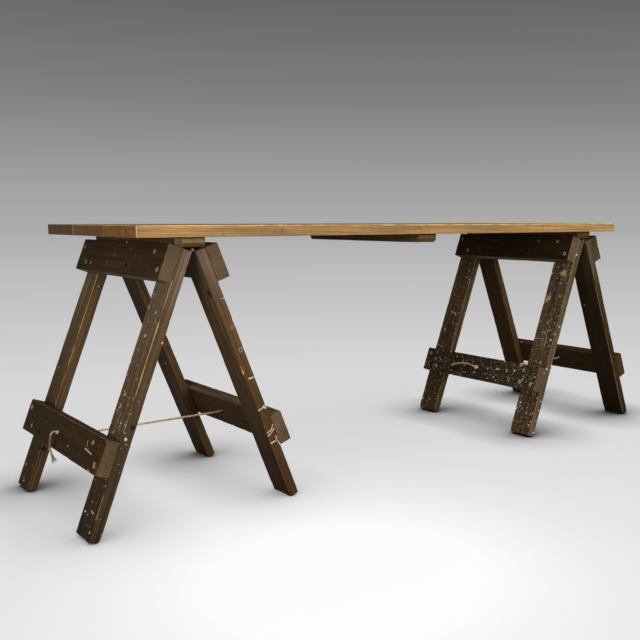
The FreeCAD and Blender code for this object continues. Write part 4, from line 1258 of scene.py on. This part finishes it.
# Hemp: three strands of pale, dry plant fibre, matt, with fine yarns along each strand
hempLook = {
    "light": "#F8E0AE", "dark": "#C0A26A", "soiled": "#6A5A40", "roughness": 0.9,
    "fibreLength": 6 * mm, "fibreWidth": 0.35 * mm,
    "patchSize": 40 / 3 * mm, "handling": 0.16,      # of the soil, and how much more where it is handled
}


def hempFinish(look):
    fibreScale = (1 / look["fibreLength"], 1 / look["fibreWidth"], 1.0)
    return newFinish("hempRope", [
        ("Attribute", {"name": "lay", "attribute_name": "lay"}),
        ("TexCoord", "place"),
        ("VectorMath.MULTIPLY", "stretched", {0: "lay:Vector", 1: fibreScale}),
        ("TexNoise", "fibre", {"Vector": "stretched", "Scale": 1.0, "Detail": 3.0, "Roughness": 0.6}),
        ("TexNoise", "patch", {"Vector": "place:Object", "Scale": 1 / look["patchSize"], "Detail": 3.0}),
        ("Attribute", {"name": "handled", "attribute_name": "handled"}),
        ("SeparateXYZ", "grip", {0: "handled:Vector"}),
        ("Math.MULTIPLY_ADD", "soil", {0: "grip:X", 1: look["handling"], 2: "patch"}),
        ("ValToRGB", "yarn", {"Fac": "fibre"}, ((0.3, look["dark"]), (0.62, look["light"]))),
        ("MapRange", "soilShare", {"Value": "soil", "From Min": 0.56, "From Max": 0.72, "To Max": 0.8}),
        ("Mix", {"name": "hemp", **colour}, {0: "soilShare", 6: "yarn", 7: look["soiled"]}),
        ("Bump", "bump", {"Height": "fibre", "Strength": 0.7, "Distance": 0.5 * mm}),
    ], {"Base Color": "hemp", "Normal": "bump", "Roughness": look["roughness"], "Specular IOR Level": 0.2})


hempRope = hempFinish(hempLook)


# Rope stays: laid three-strand rope along the routes of the frame, in metres

ropeLook = {
    "diameter": 6 * mm,
    "strands": 3,
    "layLength": 21 * mm,    # one full turn of a strand
    "step": 1.2 * mm,
    "sides": 9,
    "pressed": 1.06,         # strands fuller than round ones that only touch
    "fibreLean": 0.3,
    "soilFade": 10 * mm,
}
# Where handling has soiled each rope, in metres along it: the left one's tail, and none of the right one
soiledFrom = {"left_rope": 0.52, "right_rope": 1.0}
# Each route starts at its first hole; the points beside a long straight stretch lie six diameters from
# the rail
leftRoute = [
    (-0.51610, 0.011, 0.21004), (-0.54979, 0.011, 0.19737), (-0.58579, 0.011, 0.19737),
    (-0.95621, 0.011, 0.19737), (-0.99221, 0.011, 0.19737), (-1.02590, 0.011, 0.21004),
    (-1.03339, 0.0110, 0.21286), (-1.03730, 0.0110, 0.21434), (-1.04210, 0.0110, 0.21304),
    (-1.04590, 0.0110, 0.20784), (-1.04820, 0.0105, 0.19904), (-1.05050, 0.0095, 0.18704),
    (-1.05110, 0.0080, 0.17304), (-1.04890, 0.0060, 0.15854), (-1.04450, 0.0040, 0.14404),
]
rightRoute = [
    (1.02590, -0.003, 0.21004), (0.99221, -0.003, 0.19737), (0.95621, -0.003, 0.19737),
    (0.58579, -0.003, 0.19737), (0.54979, -0.003, 0.19737), (0.51610, -0.003, 0.21004),
    (0.50767, -0.0030, 0.21320), (0.50258, 0.0050, 0.21672), (0.50083, 0.0210, 0.22058),
    (0.50265, 0.0430, 0.22257), (0.50323, 0.0670, 0.22128), (0.50147, 0.0920, 0.21660),
    (0.49936, 0.1150, 0.21099), (0.50076, 0.1280, 0.20619), (0.50567, 0.1340, 0.20220),
    (0.51223, 0.1365, 0.19974), (0.54979, 0.1370, 0.19737),
]


def makeRope(name, route, look):
    line, at = evenly(splineLine(name, route), look["step"])
    _, normal, aside = carriedFrame(line)
    strandRadius = look["diameter"] / 2 / (1 + 2 / math.sqrt(3))
    offset = look["diameter"] / 2 - strandRadius
    shells, lay = [], []
    for strand in range(look["strands"]):
        phase = 2 * math.pi * (at / look["layLength"] + strand / look["strands"])
        centre = line + offset * (np.cos(phase)[:, None] * normal + np.sin(phase)[:, None] * aside)
        shells.append(sweptTube(centre, strandRadius * look["pressed"], look["sides"]))
        around = np.tile(np.arange(look["sides"]) / look["sides"] * 2 * math.pi * strandRadius, len(line))
        along = np.repeat(at, look["sides"])
        slanted = along + look["fibreLean"] * around
        lay.append(np.stack([slanted, around, np.full_like(along, strand)], axis=1))
    rope = newPiece(name, *joinedShells(shells), hempRope)
    setVectors(rope, "lay", np.concatenate(lay))
    soil = smoothStep(soiledFrom[name], soiledFrom[name] + look["soilFade"], at)
    soil = np.tile(np.repeat(soil, look["sides"]), look["strands"])
    setVectors(rope, "handled", np.stack([soil, soil * 0, soil * 0], axis=1))
    rope.data.shade_smooth()
    return rope, line


# An overhand knot drawn up tight
knotLook = {
    "reach": 1.6 * mm,       # scale of the knot's own loop
    "rise": 2.0 * mm,
    "ropeRadius": 2.1 * mm,
    "points": 120,
    "sides": 12,
    "fibreStep": 0.7 * mm,
    "yarnStep": 1.4 * mm,
    "fibreLean": 0.6,
}


def makeKnot(name, centre, axis, look, spin):
    # a closed trefoil, square to the rope
    t = np.linspace(0, 2 * math.pi, look["points"], endpoint=False)
    loop = np.stack([
        look["reach"] * (np.sin(t) + 2 * np.sin(2 * t)),
        look["reach"] * (np.cos(t) - 2 * np.cos(2 * t)),
        -look["rise"] * np.sin(3 * t),
    ], axis=1)
    turn = Vector(axis).to_track_quat("Z", "Y").to_matrix() @ Matrix.Rotation(spin, 3, "Z")
    line = loop @ np.array(turn).T + centre
    points, faces = sweptTube(line, look["ropeRadius"], look["sides"], closed=True)
    knot = newPiece(name, points, faces, hempRope)
    along = np.repeat(np.arange(look["points"]) * look["fibreStep"], look["sides"])
    around = np.tile(np.arange(look["sides"]) * look["yarnStep"], look["points"])
    setVectors(knot, "lay", np.stack([along, around + look["fibreLean"] * along, along * 0], axis=1))
    knot.data.shade_smooth()
    return knot


smallKnot = {**knotLook, "reach": 1.15 * mm, "rise": 1.5 * mm, "ropeRadius": 2.0 * mm}
knots = {
    "left_rope_outer_knot": ("left_outer_frame", leaning(-1)[0], smallKnot, 0.4),
    "left_rope_inner_knot": ("left_inner_frame", leaning(1)[0], knotLook, 1.3),
    "right_rope_outer_knot": ("right_outer_frame", leaning(1)[0], knotLook, 2.2),
    "right_rope_stitch_knot": ("right_inner_frame", -leaning(-1)[0], knotLook, 0.9),
}
tied = {}
for node, (body, axis, look, spin) in knots.items():
    centre = np.mean(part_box(node), axis=0)           # where the plain lump lies
    tied[node] = makeKnot(node.replace("_knot", "_tied_knot"), centre, axis, look, spin)
    fitPiece(tied[node], body, "rope_hemp", node)
# one more, larger, where the right rope comes out of its rail
stopperLook = {**knotLook, "reach": 2.1 * mm, "rise": 2.2 * mm, "ropeRadius": 2.7 * mm}
stopperSpot = {"proud": 7 * mm, "along": 3 * mm, "lower": 1 * mm}
stopperPlace = framePoint("right_inner", frameSizes["railFace"] + stopperSpot["proud"], stopperSpot["along"],
                          frameSizes["railMiddles"][1] + stopperSpot["lower"])
stopper = makeKnot("right_rope_stopper_knot", stopperPlace, leaning(-1)[0], stopperLook, 0.2)
fitPiece(stopper, "right_inner_frame", "rope_hemp")


# Loose fibres where the left rope's bare end comes apart, in two bunches

frayLook = {
    "fibres": 30, "length": 12 * mm, "shortest": 0.35, "root": 6 * mm, "radius": 0.5 * mm, "taper": 0.6,
    "apart": 1.3 * mm, "bunch": 0.9 * mm, "spread": 0.22, "stray": 0.3, "sag": 0.2, "curl": 0.1,
    "step": 1.2 * mm, "bends": 12, "sides": 6, "yarnStep": 0.7 * mm, "soil": 0.6, "seed": 91,
}


def makeFray(name, line, look):
    rng = np.random.default_rng(look["seed"])
    tangent, normal, aside = carriedFrame(line)
    back = int(look["root"] / look["step"])
    shells, lay = [], []
    for number in range(look["fibres"]):
        half = 1 if number % 2 else -1
        apart = normal[-1] * rng.normal() + aside[-1] * rng.normal()
        root = line[-1 - back] + apart * look["bunch"] + aside[-1] * half * look["apart"]
        lean = apart * look["stray"] + aside[-1] * half
        way = tangent[-1] + lean * look["spread"]
        long = look["root"] + look["length"] * rng.uniform(look["shortest"], 1.0)
        t = np.linspace(0, 1, look["bends"])[:, None]
        sag = np.array((0, 0, -1)) * rng.uniform(0.0, look["sag"])
        curl = (normal[-1] * rng.normal() + aside[-1] * rng.normal()) * look["curl"]
        path = root + long * (way * t + (sag + curl) * t * t)
        path, at = evenly(path, look["step"])
        shells.append(sweptTube(path, look["radius"] * (1 - look["taper"] * at / at[-1]), look["sides"]))
        along = np.repeat(at, look["sides"])
        lay.append(np.stack([along, along * 0 + number * look["yarnStep"], along * 0 + number], axis=1))
    fray = newPiece(name, *joinedShells(shells), hempRope)
    setVectors(fray, "lay", np.concatenate(lay))
    setVectors(fray, "handled", np.tile((look["soil"], 0, 0), (len(fray.data.vertices), 1)))
    fray.data.shade_smooth()
    return fray


leftRope, leftLine = makeRope("left_rope", leftRoute, ropeLook)
fray = makeFray("left_rope_fray", leftLine, frayLook)
fitPiece(fray, "left_outer_frame", "rope_hemp")
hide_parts("left_rope_span", "left_rope_tail")
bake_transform(leftRope)

rightRope, rightLine = makeRope("right_rope", rightRoute, ropeLook)
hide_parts("right_rope_span", "right_rope_stitch")
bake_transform(rightRope)
print("ropes laid")


# Studio: a pale floor that fades into a grey backdrop, with soft light from the front, the left and above

studio = {
    "floorBounce": "#747474",      # what the floor sends back to the table
    "floorCentre": (-0.68, -0.82, 0.0),
    "floorRadius": 60.0,
    "floorCorners": 96,
    # greys of the floor by the distance from its centre in metres
    "floorGreys": ((0.3, "#FCFCFC"), (0.45, "#F3F3F3"), (0.6, "#EBEBEB"), (0.75, "#E6E6E6"), (1.0, "#E3E3E3"),
                   (1.6, "#DEDEDE"), (2.3, "#DADADA"), (3.7, "#D0D0D0"), (6.3, "#C5C5C5"), (14.5, "#B9B9B9"),
                   (60.0, "#ABABAB")),
    "floorLight": 0.68,            # what the lamps give the open floor
    "floorPalest": 0.95,
    "contactReach": 0.26,          # how far the feet shade the floor
    # how much they shade it and which share needs no light: near, far, and the distances between
    "contactDepth": (0.75, 3.2, 0.6, 1.4),
    "glow": (0.78, 1.0, 0.9, 3.2),
    # greys of the backdrop by the sine of the height, in shares of its rise
    "backdropGreys": ((0.0, "#ABABAB"), (0.09, "#A5A5A5"), (0.51, "#808080"), (0.91, "#666666"),
                      (1.0, "#606060")),
    "backdropRise": 0.27,
    "ambient": 0.26,
    "lamps": (
        # name, place, aim, width, height, power
        ("frontSoftbox", (0.4, -4.6, 1.5), (0.0, 0.0, 0.5), 3.4, 2.0, 120.0),
        ("leftSoftbox", (-4.2, -1.8, 1.0), (0.0, 0.0, 0.4), 2.4, 1.6, 44.0),
        ("topSoftbox", (-0.6, -1.4, 3.4), (0.0, 0.0, 0.0), 3.4, 2.4, 26.0),
    ),
}
# What the camera sees, also in a mirror or through glass, is the plain backdrop; only other rays are lit
# by the room
seenRows = [
    ("LightPath", "ray"),
    ("Math.MAXIMUM", "mirrored", {0: "ray:Is Camera Ray", 1: "ray:Is Glossy Ray"}),
    ("Math.MAXIMUM", "seen", {0: "mirrored", 1: "ray:Is Transmission Ray"}),
]


def makeFloor(look):
    greys = look["floorGreys"]
    low, high = math.log(greys[0][0]), math.log(greys[-1][0])
    stops = [((math.log(far) - low) / (high - low), grey) for far, grey in greys]
    near, far, start, end = look["glow"]
    least, most, clear, dim = look["contactDepth"]
    light = look["floorLight"]
    material = newFinish("paperSweep", seenRows + [
        ("TexCoord", "place"),
        ("VectorMath.DISTANCE", "away", {0: "place:Object", 1: look["floorCentre"]}),
        ("Math.LOGARITHM", "awayLog", {0: "away:Value", 1: math.e}),
        ("MapRange", "awayStep", {"Value": "awayLog", "From Min": low, "From Max": high}),
        ("ValToRGB", "grey", {"Fac": "awayStep"}, stops),
        ("MapRange", {"name": "fade", **smooth}, {
            "Value": "away:Value", "From Min": start, "From Max": end, "To Min": near, "To Max": far}),
        # the paper is as pale as the lamps need it to be; what they can't reach glows
        ("Math.DIVIDE", "lifted", {0: "grey", 1: light}),
        ("Math.MINIMUM", "palest", {0: "lifted", 1: look["floorPalest"]}),
        ("Math.SUBTRACT", "lit", {0: 1.0, 1: "fade"}),
        ("Math.MULTIPLY", "paper", {0: "palest", 1: "lit"}),
        ("Math.MULTIPLY_ADD", "glow", {0: "paper", 1: -light, 2: "grey"}),
        # both are dimmed close to the feet
        ("AmbientOcclusion", "openness", {"Distance": look["contactReach"]}),
        ("MapRange", {"name": "contactDepth", **smooth}, {
            "Value": "away:Value", "From Min": clear, "From Max": dim, "To Min": least, "To Max": most}),
        ("Math.POWER", "contact", {0: "openness:AO", 1: "contactDepth"}),
        ("Math.MULTIPLY", "paperShaded", {0: "paper", 1: "contact"}),
        ("Math.MULTIPLY", "glowShaded", {0: "glow", 1: "contact"}),
        ("Mix", {"name": "shown", **colour}, {0: "seen", 6: look["floorBounce"], 7: "paperShaded"}),
    ], {"Base Color": "shown", "Roughness": 1.0, "Specular IOR Level": 0.0,
        "Emission Color": "glowShaded", "Emission Strength": "seen"})
    corners = look["floorCorners"]
    turn = np.linspace(0, 2 * math.pi, corners, endpoint=False)
    rim = np.stack([np.cos(turn), np.sin(turn), turn * 0], axis=1) * look["floorRadius"]
    newPiece("floor", rim, [tuple(range(corners))], material)


def makeWorld(look):
    world = bpy.data.worlds.new("studio")
    world.use_nodes = True
    bpy.context.scene.world = world
    tree = world.node_tree
    for kind, *rest in seenRows + [
        ("TexCoord", "direction"),
        ("SeparateXYZ", "height", {0: "direction:Generated"}),
        ("MapRange", "rise", {"Value": "height:Z", "From Max": look["backdropRise"]}),
        ("ValToRGB", "grey", {"Fac": "rise"}, look["backdropGreys"]),
        ("Background", "backdrop", {"Color": "grey", "Strength": 1.0}),
        ("MixShader", "mixed", {0: "seen", 1: "Background", 2: "backdrop"}),
    ]:
        addNode(tree, "ShaderNode" + kind, *rest)
    feed(tree, tree.nodes["Background"], {"Color": (1, 1, 1, 1), "Strength": look["ambient"]})
    feed(tree, tree.nodes["World Output"], {"Surface": "mixed"})


def makeLamps(look):
    for name, spot, aim, width, height, power in look["lamps"]:
        data = bpy.data.lights.new(name, "AREA")
        data.shape = "RECTANGLE"
        data.size, data.size_y, data.energy = width, height, power
        lamp = bpy.data.objects.new(name, data)
        lamp.location = spot
        lamp.rotation_euler = (Vector(aim) - Vector(spot)).to_track_quat("-Z", "Y").to_euler()
        bpy.context.scene.collection.objects.link(lamp)


makeFloor(studio)
makeWorld(studio)
makeLamps(studio)
bpy.context.scene.view_settings.view_transform = "Standard"
print("studio lit")
